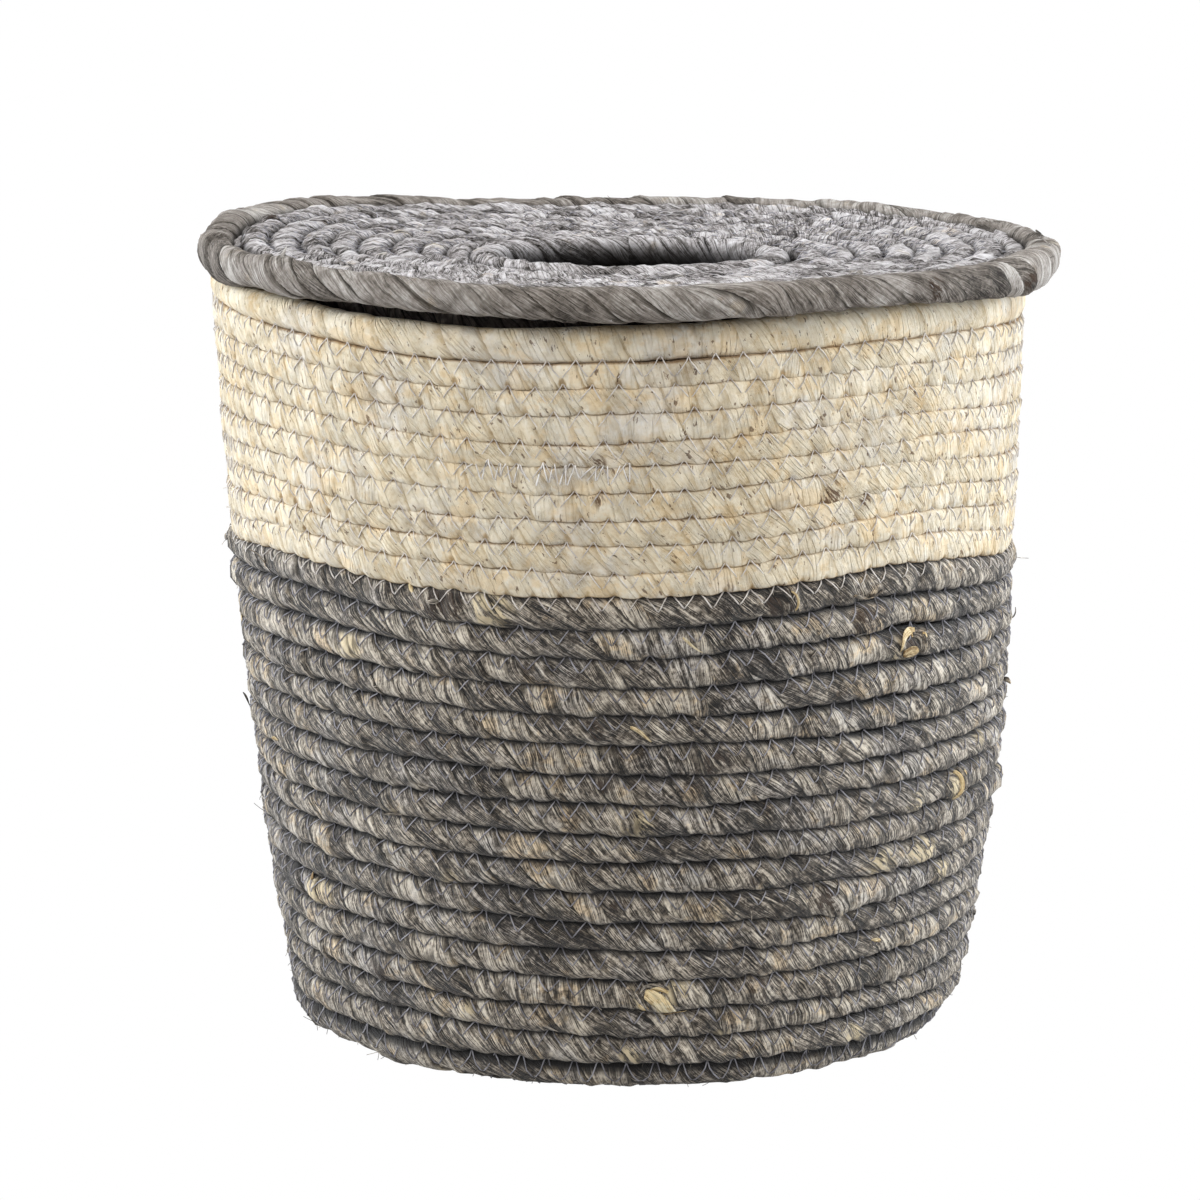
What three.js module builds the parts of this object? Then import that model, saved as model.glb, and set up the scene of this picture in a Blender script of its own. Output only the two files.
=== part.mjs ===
// A round wastepaper basket with a loose lid, coiled from rope that is wrapped in dried leaf.
// Millimetres, z up. The basket stands on z = 0 round the z axis, and its front looks along -y.
// A place on it is a radius, a height and a turn: turns run clockwise seen from above, and each
// whole turn lies at the back.
import * as THREE from "three";

// Body of the basket, measured on its outside
const rimHeight = 263;
const mouthRadius = 140;
const footRadius = 121;
const footCornerRadius = 15.6;
const footLean = THREE.MathUtils.degToRad(9.6);
const creamBandHeight = 76.5;

// Rope, as it lies in the work: its width along the wall and its thickness through it
const greyRope = 10.27;
const creamRope = 8.5;
const ropeThickness = 10;
const rimRopeWidth = 11.1;
const rimRopeThickness = 11.1;
const grooveDepth = 2.1;
const rowShoulder = 1.7;
const centreHoleRadius = 1.5;

// Clearances: from row to row, from rope end to rope end, and under a piece that lies on another
const rowGap = 0.5;
const endGap = 0.4;
const seatGap = 0.3;

// Splices of the rope, as angles from the front towards +x and as rows below the lowest cream row
const footSplice = { angle: THREE.MathUtils.degToRad(6.5), row: 14 };
const upperSplice = { angle: THREE.MathUtils.degToRad(47), row: 3 };
const bandSplice = { angle: THREE.MathUtils.degToRad(-14), row: -4 };

// Lid
const lidOverhang = 9;
const lidRope = 10.2;
const lidThickness = 10;
const lidEdgeWidth = 10.8;
const lidEdgeHeight = 10.5;
const holeRadius = 45.4;
const holeRopeWidth = 11;
const holeRopeHeight = 10.5;
const locatingRopeWidth = 10;
const locatingRopeHeight = 10;
const locatingClearance = 3;

// Each rope is drawn in straight steps, the same for every row, so that the rows lie side by side.
// Round the centre of the floor, where it bends most, each step is twice as long.
const stepsPerTurn = 20;
const thinnedEndTurns = 6 / stepsPerTurn;
const tightRadius = 2 * greyRope;

const greyLeaf = { color: 0x7f7a74, roughness: 0.92, metalness: 0 };
const creamLeaf = { color: 0xe0d3b8, roughness: 0.85, metalness: 0 };
const lidLeaf = { color: 0x918d8b, roughness: 0.9, metalness: 0 };

// The line that the rope's centre follows, as radius and height: out over the floor, round the
// foot, up the leaning wall until it is upright at the rim, and one rope further for the last row.
function makeProfile() {
  const half = ropeThickness / 2;
  const arcCentre = new THREE.Vector2(footRadius - footCornerRadius, footCornerRadius);
  const arcRadius = footCornerRadius - half;
  const wallStart = new THREE.Vector2(
    arcCentre.x + arcRadius * Math.cos(footLean),
    arcCentre.y - arcRadius * Math.sin(footLean),
  );
  const wallRadius = mouthRadius - half;
  const bendHeight = wallStart.y + (wallRadius - wallStart.x) / Math.tan(footLean);
  return new THREE.Path()
    .moveTo(0, half)
    .lineTo(arcCentre.x, half)
    .absarc(arcCentre.x, arcCentre.y, arcRadius, -Math.PI / 2, -footLean, false)
    .quadraticCurveTo(wallRadius, bendHeight, wallRadius, rimHeight)
    .lineTo(wallRadius, rimHeight + greyRope);
}

const profile = makeProfile();
const profileLength = profile.getLength();

// Length along the profile at which it first reaches a height, by halving
function lengthAtHeight(height) {
  let low = 0;
  let high = profileLength;
  for (let i = 0; i < 40; i += 1) {
    const middle = (low + high) / 2;
    if (profile.getPoint(middle / profileLength).y < height) low = middle;
    else high = middle;
  }
  return low;
}

const bandTop = rimHeight - rimRopeWidth;
const borderLength = lengthAtHeight(bandTop - creamBandHeight);
const bandLength = lengthAtHeight(bandTop) - borderLength;
const creamTurns = Math.round(bandLength / creamRope);
const creamPitch = bandLength / creamTurns;

// Turns are counted from the change of colour: grey rows are below zero, cream rows above.
const centreTurn = -borderLength / greyRope;
const holeSeamRadius = centreHoleRadius - rowGap / 2;
const startTurn = centreTurn - 0.5 + holeSeamRadius / greyRope + thinnedEndTurns;
const floorEndTurn = centreTurn + (footRadius - footCornerRadius) / greyRope;
const turnOfSplice = ({ angle, row }) => 0.5 - row - angle / (2 * Math.PI);

// Centre of the rope at a turn, in the half plane of radius and height
function centreAt(turn) {
  const pitch = turn < 0 ? greyRope : creamPitch;
  return profile.getPoint((borderLength + pitch * turn) / profileLength);
}

// The seam between the row at a turn and the row one turn on, halfway between their centres
function seamAfter(turn) {
  const lower = centreAt(turn);
  const upper = centreAt(turn + 1);
  const along = upper.clone().sub(lower).normalize();
  return {
    middle: lower.lerp(upper, 0.5),
    along,
    outward: new THREE.Vector2(along.y, -along.x),
  };
}

// A point beside a seam: so far along the profile from it, and so far out of the wall
function besideSeam(seam, along, outward) {
  return seam.middle
    .clone()
    .addScaledVector(seam.along, along)
    .addScaledVector(seam.outward, outward);
}

// Rope on the floor: flat underneath, with shoulders that leave a groove between rows on top. Its
// first turn grows from a thinned end round the small hole at the centre.
function floorSection(turn) {
  const inner = seamAfter(turn - 1);
  const outer = seamAfter(turn);
  inner.middle.x = Math.max(inner.middle.x, holeSeamRadius);
  const half = ropeThickness / 2;
  const side = rowGap / 2;
  const shoulder = rowShoulder * Math.min(1, (outer.middle.x - inner.middle.x) / greyRope);
  return [
    besideSeam(inner, side + shoulder, -half),
    besideSeam(inner, side, half),
    besideSeam(outer, -side, half),
    besideSeam(outer, -side - shoulder, -half),
  ];
}

// Rope of the wall: faced off against the rows below and above, proud on the outside
function wallSection(turn) {
  const below = seamAfter(turn - 1);
  const above = seamAfter(turn);
  const half = ropeThickness / 2;
  const side = rowGap / 2;
  const centre = centreAt(turn);
  const outward = below.outward.clone().add(above.outward).normalize();
  return [
    besideSeam(below, side, -half),
    besideSeam(below, side, half - grooveDepth * below.along.y),
    centre.addScaledVector(outward, half),
    besideSeam(above, -side, half - grooveDepth * above.along.y),
    besideSeam(above, -side, -half),
  ];
}

// The last turn: it lies on the climbing row below and is dressed level on top
function rimSection(turn) {
  const below = seamAfter(turn - 1);
  const half = rimRopeThickness / 2;
  const bottom = besideSeam(below, rowGap / 2, 0);
  const flank = half - grooveDepth;
  return [
    new THREE.Vector2(bottom.x - flank, bottom.y),
    new THREE.Vector2(bottom.x + flank, bottom.y),
    new THREE.Vector2(bottom.x + half, (bottom.y + rimHeight) / 2),
    new THREE.Vector2(bottom.x + flank, rimHeight),
    new THREE.Vector2(bottom.x - half, rimHeight),
  ];
}

// A ring of rope that shows, flat on its top and underside and proud on the outside
function proudRingSection(innerRadius, width, bottom, height) {
  const outerRadius = innerRadius + width;
  return [
    new THREE.Vector2(innerRadius, bottom),
    new THREE.Vector2(outerRadius - grooveDepth, bottom),
    new THREE.Vector2(outerRadius, bottom + height / 2),
    new THREE.Vector2(outerRadius - grooveDepth, bottom + height),
    new THREE.Vector2(innerRadius, bottom + height),
  ];
}

// The same ring turned inside out: proud towards the hole that it lines
function liningRingSection(innerRadius, width, bottom, height) {
  const mirrorLine = 2 * innerRadius + width;
  return proudRingSection(innerRadius, width, bottom, height)
    .map(({ x, y }) => new THREE.Vector2(mirrorLine - x, y))
    .reverse();
}

// A plain ring of rope under the lid, where it doesn't show
function hiddenRingSection(innerRadius, width, bottom, height) {
  return [
    new THREE.Vector2(innerRadius, bottom),
    new THREE.Vector2(innerRadius + width, bottom),
    new THREE.Vector2(innerRadius + width, bottom + height),
    new THREE.Vector2(innerRadius, bottom + height),
  ];
}

// The lid's flat spiral, sprung between the hole's rope and the edge rope: its first turn grows
// from a thinned end against the one, and its last turn thins out against the other.
const edgeOuterRadius = mouthRadius + lidOverhang;
const spiralInner = holeRadius + holeRopeWidth + rowGap / 2;
const spiralOuter = edgeOuterRadius - lidEdgeWidth - rowGap / 2;
const spiralTurns = Math.round((spiralOuter - spiralInner) / lidRope);
const spiralPitch = (spiralOuter - spiralInner) / spiralTurns;

function spiralSection(turn) {
  const radiusAt = (t) => spiralInner + spiralPitch * THREE.MathUtils.clamp(t, 0, spiralTurns);
  const inner = radiusAt(turn - 1) + rowGap / 2;
  const outer = radiusAt(turn) - rowGap / 2;
  const shoulder = rowShoulder * Math.min(1, (outer - inner) / spiralPitch);
  return [
    new THREE.Vector2(inner, 0),
    new THREE.Vector2(outer, 0),
    new THREE.Vector2(outer - shoulder, lidThickness),
    new THREE.Vector2(inner + shoulder, lidThickness),
  ];
}

// Section points placed round the axis at a turn. Between two steps they lie on the chord.
function ringAt(sectionAt, turn) {
  const step = turn * stepsPerTurn;
  const before = Math.floor(step + 1e-9);
  const share = Math.max(0, step - before);
  const placed = (index) => {
    const angle = Math.PI - (2 * Math.PI * index) / stepsPerTurn;
    const section = sectionAt(index / stepsPerTurn);
    return section.map((p) => new THREE.Vector3(p.x * Math.sin(angle), -p.x * Math.cos(angle), p.y));
  };
  const start = placed(before);
  if (share < 1e-6) return start;
  const end = placed(before + 1);
  return start.map((point, i) => point.lerp(end[i], share));
}

// Turns at which a rope has a section: its two ends, and every step between them
function turnsOf(sectionAt, fromTurn, toTurn) {
  const turns = [fromTurn];
  const firstStep = Math.floor(fromTurn * stepsPerTurn + 1e-6) + 1;
  for (let step = firstStep; step < toTurn * stepsPerTurn - 1e-6; step += 1) {
    const isTight = Math.max(...sectionAt(step / stepsPerTurn).map((p) => p.x)) < tightRadius;
    if (!isTight || step % 2 === 0) turns.push(step / stepsPerTurn);
  }
  turns.push(toTurn);
  return turns;
}

// One closed skin over the rings of a rope, with a flat face at each end
function skin(rings) {
  const sides = rings[0].length;
  const index = [];
  rings.slice(1).forEach((_, i) => {
    for (let a = 0; a < sides; a += 1) {
      const b = (a + 1) % sides;
      const near = i * sides;
      const far = near + sides;
      index.push(near + a, near + b, far + b, near + a, far + b, far + a);
    }
  });
  const last = (rings.length - 1) * sides;
  for (let a = 1; a < sides - 1; a += 1) {
    index.push(0, a + 1, a, last, last + a, last + a + 1);
  }
  const geometry = new THREE.BufferGeometry().setFromPoints(rings.flat());
  geometry.setIndex(index);
  const faceted = geometry.toNonIndexed();
  faceted.computeVertexNormals();
  return faceted;
}

// Points on the outline of a section: its corners and three more on each side
function outlinePoints(ring) {
  return ring.flatMap((corner, i) => {
    const next = ring[(i + 1) % ring.length];
    return [0, 0.25, 0.5, 0.75].map((share) => corner.clone().lerp(next, share));
  });
}

// Least distance from a rope's outline to its own outline about one turn on
function leastGap(turns, rings) {
  const outlines = rings.map(outlinePoints);
  let least = Infinity;
  outlines.forEach((outline, i) => {
    outlines.forEach((other, j) => {
      if (Math.abs(turns[j] - turns[i] - 1) > 1.5 / stepsPerTurn) return;
      outline.forEach((p) => other.forEach((q) => (least = Math.min(least, p.distanceTo(q)))));
    });
  });
  return least;
}

function rope(name, leaf, sectionAt, fromTurn, toTurn) {
  const turns = turnsOf(sectionAt, fromTurn, toTurn);
  const rings = turns.map((turn) => ringAt(sectionAt, turn));
  if (toTurn - fromTurn > 1) {
    console.log(`${name}: least gap between its turns ${leastGap(turns, rings).toFixed(2)} mm`);
  }
  const mesh = new THREE.Mesh(skin(rings), new THREE.MeshStandardMaterial(leaf));
  mesh.name = name;
  return mesh;
}

// Half of the gap between two rope ends, in turns at a radius
const halfEndGap = (radius) => endGap / (4 * Math.PI * radius);

// A ring of rope is one turn whose ends meet at the back.
function ropeRing(name, leaf, section) {
  const trim = halfEndGap(section[0].x);
  return rope(name, leaf, () => section, trim, 1 - trim);
}

function basket() {
  const group = new THREE.Group();
  const footTurn = turnOfSplice(footSplice);
  const upperTurn = turnOfSplice(upperSplice);
  const bandTurn = turnOfSplice(bandSplice);
  const lengths = [
    ["base_coil", greyLeaf, floorSection, startTurn, floorEndTurn],
    ["foot_coil", greyLeaf, wallSection, floorEndTurn, footTurn],
    ["lower_wall_coil", greyLeaf, wallSection, footTurn, upperTurn],
    ["middle_wall_coil", greyLeaf, wallSection, upperTurn, 0],
    ["lower_band_coil", creamLeaf, wallSection, 0, bandTurn],
    ["upper_band_coil", creamLeaf, wallSection, bandTurn, creamTurns],
    ["rim_coil", creamLeaf, rimSection, creamTurns, creamTurns + 1],
  ];
  lengths.forEach(([name, leaf, sectionAt, fromTurn, toTurn]) => {
    const trimAt = (turn) => (turn === startTurn ? 0 : halfEndGap(centreAt(turn).x));
    group.add(rope(name, leaf, sectionAt, fromTurn + trimAt(fromTurn), toTurn - trimAt(toTurn)));
  });
  return group;
}

// The lid is built with its underside at height zero.
function lid() {
  const group = new THREE.Group();
  const rimInner = mouthRadius - ropeThickness / 2 - rimRopeThickness / 2;
  const locatingOuter = rimInner - locatingClearance;
  const edgeInner = edgeOuterRadius - lidEdgeWidth;
  const locatingInner = locatingOuter - locatingRopeWidth;
  const locatingBottom = -seatGap - locatingRopeHeight;
  group.add(
    rope("lid_coil", lidLeaf, spiralSection, thinnedEndTurns, spiralTurns + 1 - thinnedEndTurns),
    ropeRing(
      "lid_edge_ring",
      lidLeaf,
      proudRingSection(edgeInner, lidEdgeWidth, 0, lidEdgeHeight),
    ),
    ropeRing(
      "lid_hole_ring",
      lidLeaf,
      liningRingSection(holeRadius, holeRopeWidth, 0, holeRopeHeight),
    ),
    ropeRing(
      "lid_locating_ring",
      lidLeaf,
      hiddenRingSection(locatingInner, locatingRopeWidth, locatingBottom, locatingRopeHeight),
    ),
  );
  group.position.z = rimHeight + seatGap;
  return group;
}

const part = new THREE.Group();
part.add(basket(), lid());

export default part;
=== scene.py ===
"""Dresses a lidded wastepaper basket that is coiled from leaf-wrapped rope and sewn with zigzag thread.

Sizes are in millimetres and angles in degrees until a mesh is written, which is in metres. A place
on the basket is a turn along the rope and an angle round it. Turns run clockwise seen from above,
each whole turn lies at the back, grey rows are below turn 0 and cream rows above. Round the rope,
0 faces out of the work, 90 faces the next row and -90 the row before.
"""

from __future__ import annotations

import logging
import math
from dataclasses import dataclass, field, replace
from enum import Enum

import bpy
import numpy as np
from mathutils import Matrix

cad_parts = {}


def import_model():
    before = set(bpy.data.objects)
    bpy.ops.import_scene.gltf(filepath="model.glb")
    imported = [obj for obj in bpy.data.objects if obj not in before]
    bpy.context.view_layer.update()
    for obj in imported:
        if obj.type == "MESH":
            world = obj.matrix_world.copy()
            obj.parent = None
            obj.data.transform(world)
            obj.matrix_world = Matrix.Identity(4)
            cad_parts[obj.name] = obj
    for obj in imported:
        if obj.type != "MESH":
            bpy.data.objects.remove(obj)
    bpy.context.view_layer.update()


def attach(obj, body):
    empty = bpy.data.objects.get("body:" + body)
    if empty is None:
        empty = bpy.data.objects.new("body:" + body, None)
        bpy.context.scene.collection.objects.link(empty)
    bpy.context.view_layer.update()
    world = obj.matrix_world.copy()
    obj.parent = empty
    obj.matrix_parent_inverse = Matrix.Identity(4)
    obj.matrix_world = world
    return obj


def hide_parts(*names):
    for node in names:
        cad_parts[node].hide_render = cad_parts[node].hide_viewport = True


MM = 0.001
FULL_TURN = 2.0 * math.pi
LATTICE = 4096

Socket = bpy.types.NodeSocket
Triple = tuple[float, float, float]
Colour = Triple

log = logging.getLogger("basket")


class Body(Enum):
    """The two bodies of the part that pieces ride on."""

    BASKET = "basket"
    LID = "lid"


def value_noise(position: np.ndarray, spacing: float, seed: int) -> np.ndarray:
    """Smooth random waves from -1 to 1: random heights at even spacing, joined by 3t^2 - 2t^3.

    Args:
        position: Where to read the waves.
        spacing: Distance between the random heights.
        seed: Picks the heights.

    Returns:
        The height at each position.
    """
    heights = np.random.default_rng(seed).uniform(-1.0, 1.0, LATTICE)
    place = np.asarray(position, float) / spacing
    cell = np.floor(place).astype(int)
    share = place - cell
    share = share * share * (3.0 - 2.0 * share)
    return heights[cell % LATTICE] * (1.0 - share) + heights[(cell + 1) % LATTICE] * share


def lump_noise(
    length: np.ndarray, theta: np.ndarray, spacing: float, columns: int, seed: int
) -> np.ndarray:
    """Random lumps on a rope's skin, a grid of random heights that closes on itself round the rope.

    Args:
        length: Distance along the rope.
        theta: Angle round the rope, in radians.
        spacing: Distance between random heights along the rope.
        columns: Number of random heights round the rope.
        seed: Picks the heights.

    Returns:
        Heights from -1 to 1, joined by 3t^2 - 2t^3 both ways.
    """
    heights = np.random.default_rng(seed).uniform(-1.0, 1.0, (LATTICE, columns))
    place, turn = np.broadcast_arrays(length / spacing, theta / FULL_TURN * columns)
    row, column = np.floor(place).astype(int), np.floor(turn).astype(int)
    along, around = place - row, turn - column
    along, around = (s * s * (3.0 - 2.0 * s) for s in (along, around))
    low = heights[row % LATTICE, column % columns] * (1 - around)
    low = low + heights[row % LATTICE, (column + 1) % columns] * around
    high = heights[(row + 1) % LATTICE, column % columns] * (1 - around)
    high = high + heights[(row + 1) % LATTICE, (column + 1) % columns] * around
    return low * (1 - along) + high * along


def bump(distance: np.ndarray, width: float) -> np.ndarray:
    """A bell of height 1: e to the minus half of the squared distance over the squared width."""
    return np.exp(-0.5 * (distance / width) ** 2)


def smoothstep(low: float, high: float, value: np.ndarray) -> np.ndarray:
    """0 below low, 1 above high, and 3t^2 - 2t^3 between them."""
    share = np.clip((value - low) / (high - low), 0.0, 1.0)
    return share * share * (3.0 - 2.0 * share)


def angle_apart(phi: np.ndarray, degrees: float) -> np.ndarray:
    """Signed difference in degrees between angles in radians and one in degrees, within half a turn."""
    return (np.degrees(phi) - degrees + 180.0) % 360.0 - 180.0


@dataclass(frozen=True)
class Wave:
    """Random waves along a line: the distance between their random heights, their seed and their size."""

    spacing: float
    seed: int
    size: float


def wave_sum(position: np.ndarray, waves: tuple[Wave, ...]) -> np.ndarray:
    """Sum of the waves at each position."""
    return sum(wave.size * value_noise(position, wave.spacing, wave.seed) for wave in waves)


@dataclass(frozen=True)
class Sections:
    """Sections of a rope where it was asked for, each in its half plane of radius and height."""

    radius: np.ndarray
    height: np.ndarray
    phi: np.ndarray
    along_r: np.ndarray
    along_z: np.ndarray
    half_width: np.ndarray
    half_thickness: np.ndarray
    length: np.ndarray


@dataclass(frozen=True)
class Swell:
    """One place where the hand-made work rises or dips, as a bell round the basket."""

    angle: float
    width: float
    rise: float


def swell_rise(phi: np.ndarray, swells: tuple[Swell, ...]) -> np.ndarray:
    """Sum of the swells at angles in radians."""
    return sum(swell.rise * bump(angle_apart(phi, swell.angle), swell.width) for swell in swells)


@dataclass(frozen=True)
class Bulge:
    """One place where the wall stands out or in, as a bell round the basket and up it."""

    angle: float
    height: float
    width: float
    span: float
    rise: float


@dataclass(frozen=True)
class WallShape:
    """The basket's body: one profile from the centre of the floor to the rim, wound with rope.

    The rim gap is the share of a turn that is left out where the band meets the rim, and the cream
    waver is how much more a cream seam strays than a grey one. The hand work grows over the first
    span of heights, and passes from the border's swells to the rim's over the second.
    """

    rim_height: float = 263.0
    mouth_radius: float = 140.0
    foot_radius: float = 121.0
    foot_corner: float = 15.6
    foot_lean: float = 9.6
    cream_band: float = 76.5
    grey_rope: float = 10.27
    cream_rope: float = 8.5
    thickness: float = 10.0
    rim_width: float = 11.1
    rim_thickness: float = 11.1
    rim_gap: float = 0.002
    eye_radius: float = 0.8
    seam_waver: float = 0.6
    cream_waver: float = 1.2
    seam_waves: tuple[Wave, ...] = (Wave(0.021, 12, 0.45), Wave(0.07, 13, 0.8), Wave(0.19, 14, 0.6))
    depth_wave: Wave = Wave(0.045, 17, 0.4)
    worked_from: tuple[float, float] = (118.0, 176.0)
    rim_worked_from: tuple[float, float] = (185.0, 255.0)
    border_swells: tuple[Swell, ...] = (
        Swell(-82.0, 12.0, -2.1),
        Swell(-56.0, 11.0, 1.8),
        Swell(-12.0, 20.0, -2.1),
        Swell(42.0, 15.0, 4.8),
        Swell(82.0, 14.0, -2.9),
    )
    rim_swells: tuple[Swell, ...] = (
        Swell(-92.0, 28.0, 3.9),
        Swell(-55.0, 12.0, 0.5),
        Swell(-20.0, 17.0, -2.2),
        Swell(42.0, 20.0, 2.9),
    )
    bulges: tuple[Bulge, ...] = (
        Bulge(-90.0, 278.0, 38.0, 42.0, 4.0),
        Bulge(90.0, 90.0, 42.0, 42.0, 3.3),
        Bulge(-90.0, 90.0, 42.0, 42.0, -1.4),
        Bulge(90.0, 25.0, 42.0, 16.0, 1.2),
        Bulge(-90.0, 25.0, 42.0, 16.0, -1.2),
        Bulge(-56.0, 8.0, 16.0, 9.0, 1.6),
    )

    def profile(self) -> tuple[np.ndarray, np.ndarray, np.ndarray]:
        """The line of the rope's centre: out over the floor, an arc round the foot, then a parabola.

        The line starts before the floor's centre and runs on above the rim, so that the first and
        last turns can be placed on it.

        Returns:
            Length along the line, radius and height of points along it.
        """
        before, beyond, floor_points = 20.0, 30.0, 60
        half = self.thickness / 2
        lean = math.radians(self.foot_lean)
        arc = self.foot_corner - half
        centre_r = self.foot_radius - self.foot_corner
        sweep = np.linspace(-math.pi / 2, -lean, 60)
        arc_r, arc_z = centre_r + arc * np.cos(sweep), self.foot_corner + arc * np.sin(sweep)
        end_r = self.mouth_radius - half
        bend_z = arc_z[-1] + (end_r - arc_r[-1]) / math.tan(lean)
        t = np.linspace(0.0, 1.0, 600)[1:]
        wall_r = arc_r[-1] * (1 - t) ** 2 + 2 * end_r * t * (1 - t) + end_r * t**2
        wall_z = arc_z[-1] * (1 - t) ** 2 + 2 * bend_z * t * (1 - t) + self.rim_height * t**2
        floor_r = np.linspace(-before, centre_r, floor_points + 1)[:-1]
        floor_z = np.full(floor_points, half)
        radius = np.concatenate([floor_r, arc_r, wall_r, [end_r]])
        height = np.concatenate([floor_z, arc_z, wall_z, [self.rim_height + beyond]])
        step = np.hypot(np.diff(radius), np.diff(height))
        return np.concatenate([[0.0], np.cumsum(step)]) - before, radius, height


class Wall:
    """Places the rope of the basket's body: where each turn lies, its width and the way it faces."""

    def __init__(self, shape: WallShape) -> None:
        """Works out the profile and the rope's length at each turn.

        Args:
            shape: The sizes of the basket's body.
        """
        self.shape = shape
        self.line, self.line_r, self.line_z = shape.profile()
        self.slope_r, self.slope_z = (np.gradient(v, self.line) for v in (self.line_r, self.line_z))
        rising = self.line_z > shape.thickness / 2
        up_z, up_line = self.line_z[rising], self.line[rising]
        band_top = shape.rim_height - shape.rim_width
        top = float(np.interp(band_top, up_z, up_line))
        self.border = float(np.interp(band_top - shape.cream_band, up_z, up_line))
        self.cream_turns = round((top - self.border) / shape.cream_rope)
        self.cream_pitch = (top - self.border) / self.cream_turns
        self.first_turn = (shape.eye_radius - self.border) / shape.grey_rope - 0.3
        self.floor_end = (shape.foot_radius - shape.foot_corner - self.border) / shape.grey_rope
        self.turns = np.linspace(self.first_turn - 0.2, self.cream_turns + 2.0, 16000)
        reach = np.maximum(self.centre(self.turns)[0], 1.0)
        growth = FULL_TURN * 0.5 * (reach[1:] + reach[:-1]) * np.diff(self.turns)
        self.lengths = np.concatenate([[0.0], np.cumsum(growth)])

    def centre(self, turn: np.ndarray) -> tuple[np.ndarray, np.ndarray, np.ndarray, np.ndarray]:
        """Finds the rope's centre at each turn, on the profile at the border plus pitch times turn.

        Args:
            turn: Turns to place.

        Returns:
            Radius and height of the centre, and the two parts of the direction up the profile.
        """
        pitch = np.where(turn < 0, self.shape.grey_rope, self.cream_pitch)
        along = self.border + pitch * turn
        values = (self.line_r, self.line_z, self.slope_r, self.slope_z)
        radius, height, slope_r, slope_z = (np.interp(along, self.line, v) for v in values)
        size = np.hypot(slope_r, slope_z)
        return radius, height, slope_r / size, slope_z / size

    def length_at(self, turn: np.ndarray) -> np.ndarray:
        """Rope used up to each turn."""
        return np.interp(turn, self.turns, self.lengths)

    def turn_at(self, length: np.ndarray) -> np.ndarray:
        """Turn reached at each length of rope."""
        return np.interp(length, self.lengths, self.turns)

    def waver(self, turn: np.ndarray) -> np.ndarray:
        """How far seams stray from their even places: random waves, calmer on the floor.

        Args:
            turn: Turns of the rope below each seam.

        Returns:
            Distances along the profile.
        """
        own = wave_sum(turn, self.shape.seam_waves)
        wilder = np.where(turn > -0.5, self.shape.cream_waver, 1.0)
        settled = 0.4 + 0.6 * smoothstep(0.0, 1.5, turn - self.floor_end)
        return self.shape.seam_waver * own * wilder * settled

    def lift(self, phi: np.ndarray, height: np.ndarray) -> np.ndarray:
        """How far hand work lifts the wall: one set of swells at the change of colour, one at the rim.

        Args:
            phi: Angles round the basket, in radians.
            height: Heights before the lift.

        Returns:
            The lift at each point.
        """
        high = smoothstep(*self.shape.rim_worked_from, height)
        border = swell_rise(phi, self.shape.border_swells)
        rim = swell_rise(phi, self.shape.rim_swells)
        return (border * (1.0 - high) + rim * high) * smoothstep(*self.shape.worked_from, height)

    def depth(self, turn: np.ndarray, phi: np.ndarray, height: np.ndarray) -> np.ndarray:
        """How far the bulges push the wall out, each a bell round the basket times a bell up it.

        Args:
            turn: Turns of the rope.
            phi: Angles round the basket, in radians.
            height: Heights of the rope's centre.

        Returns:
            The distance outwards at each point.
        """
        away = np.zeros_like(height)
        for bulge in self.shape.bulges:
            near = bump(angle_apart(phi, bulge.angle), bulge.width)
            away = away + bulge.rise * near * bump(height - bulge.height, bulge.span)
        return away * smoothstep(0.0, 1.0, turn - self.floor_end)

    def sections(self, turn: np.ndarray) -> Sections:
        """Sections of the rope at each turn, with the hand work in them.

        The rim's turn stays level while the band below it climbs, so its width shrinks as it goes.
        The first two turns keep clear of the eye in the floor and are thinner.

        Args:
            turn: Turns to place, in any shape of array.

        Returns:
            The sections, from the seam below to the seam above each turn.
        """
        radius, height, along_r, along_z = self.centre(turn)
        pitch = np.where(turn < 0, self.shape.grey_rope, self.cream_pitch)
        below, above = self.waver(turn - 1.0), self.waver(turn)
        phi = math.pi - FULL_TURN * turn
        shift = 0.5 * (below + above)
        half_width = 0.5 * (pitch + above - below)
        half_thickness = np.full_like(half_width, 0.5 * self.shape.thickness)
        on_rim = turn > self.cream_turns - 0.5 * self.shape.rim_gap
        bottom = self.shape.rim_height - self.shape.rim_width
        bottom = bottom + self.cream_pitch * (turn - self.cream_turns - 0.5)
        level_half = 0.5 * (self.shape.rim_height - bottom)
        height = np.where(on_rim, bottom + level_half, height + along_z * shift)
        radius = radius + np.where(on_rim, 0.0, along_r * shift)
        half_width = np.where(on_rim, level_half, half_width)
        half_thickness = np.where(on_rim, 0.5 * self.shape.rim_thickness, half_thickness)
        inner = np.maximum(radius - half_width, self.shape.eye_radius)
        tight = turn < self.first_turn + 2.0
        outer = radius + half_width
        half_width = np.where(tight, 0.5 * (outer - inner), half_width)
        radius = np.where(tight, 0.5 * (outer + inner), radius)
        thin = 0.35 + 0.65 * smoothstep(0.0, 0.45 * self.shape.grey_rope, half_width)
        height = np.where(tight, height - half_thickness * (1.0 - thin), height)
        half_thickness = np.where(tight, half_thickness * thin, half_thickness)
        stray = smoothstep(0.0, 1.0, turn - self.floor_end) * wave_sum(turn, (self.shape.depth_wave,))
        radius, height = radius + along_z * stray, height - along_r * stray
        radius = radius + self.depth(turn, phi, height)
        height = height + self.lift(phi, height)
        length = self.length_at(turn)
        return Sections(radius, height, phi, along_r, along_z, half_width, half_thickness, length)


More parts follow.
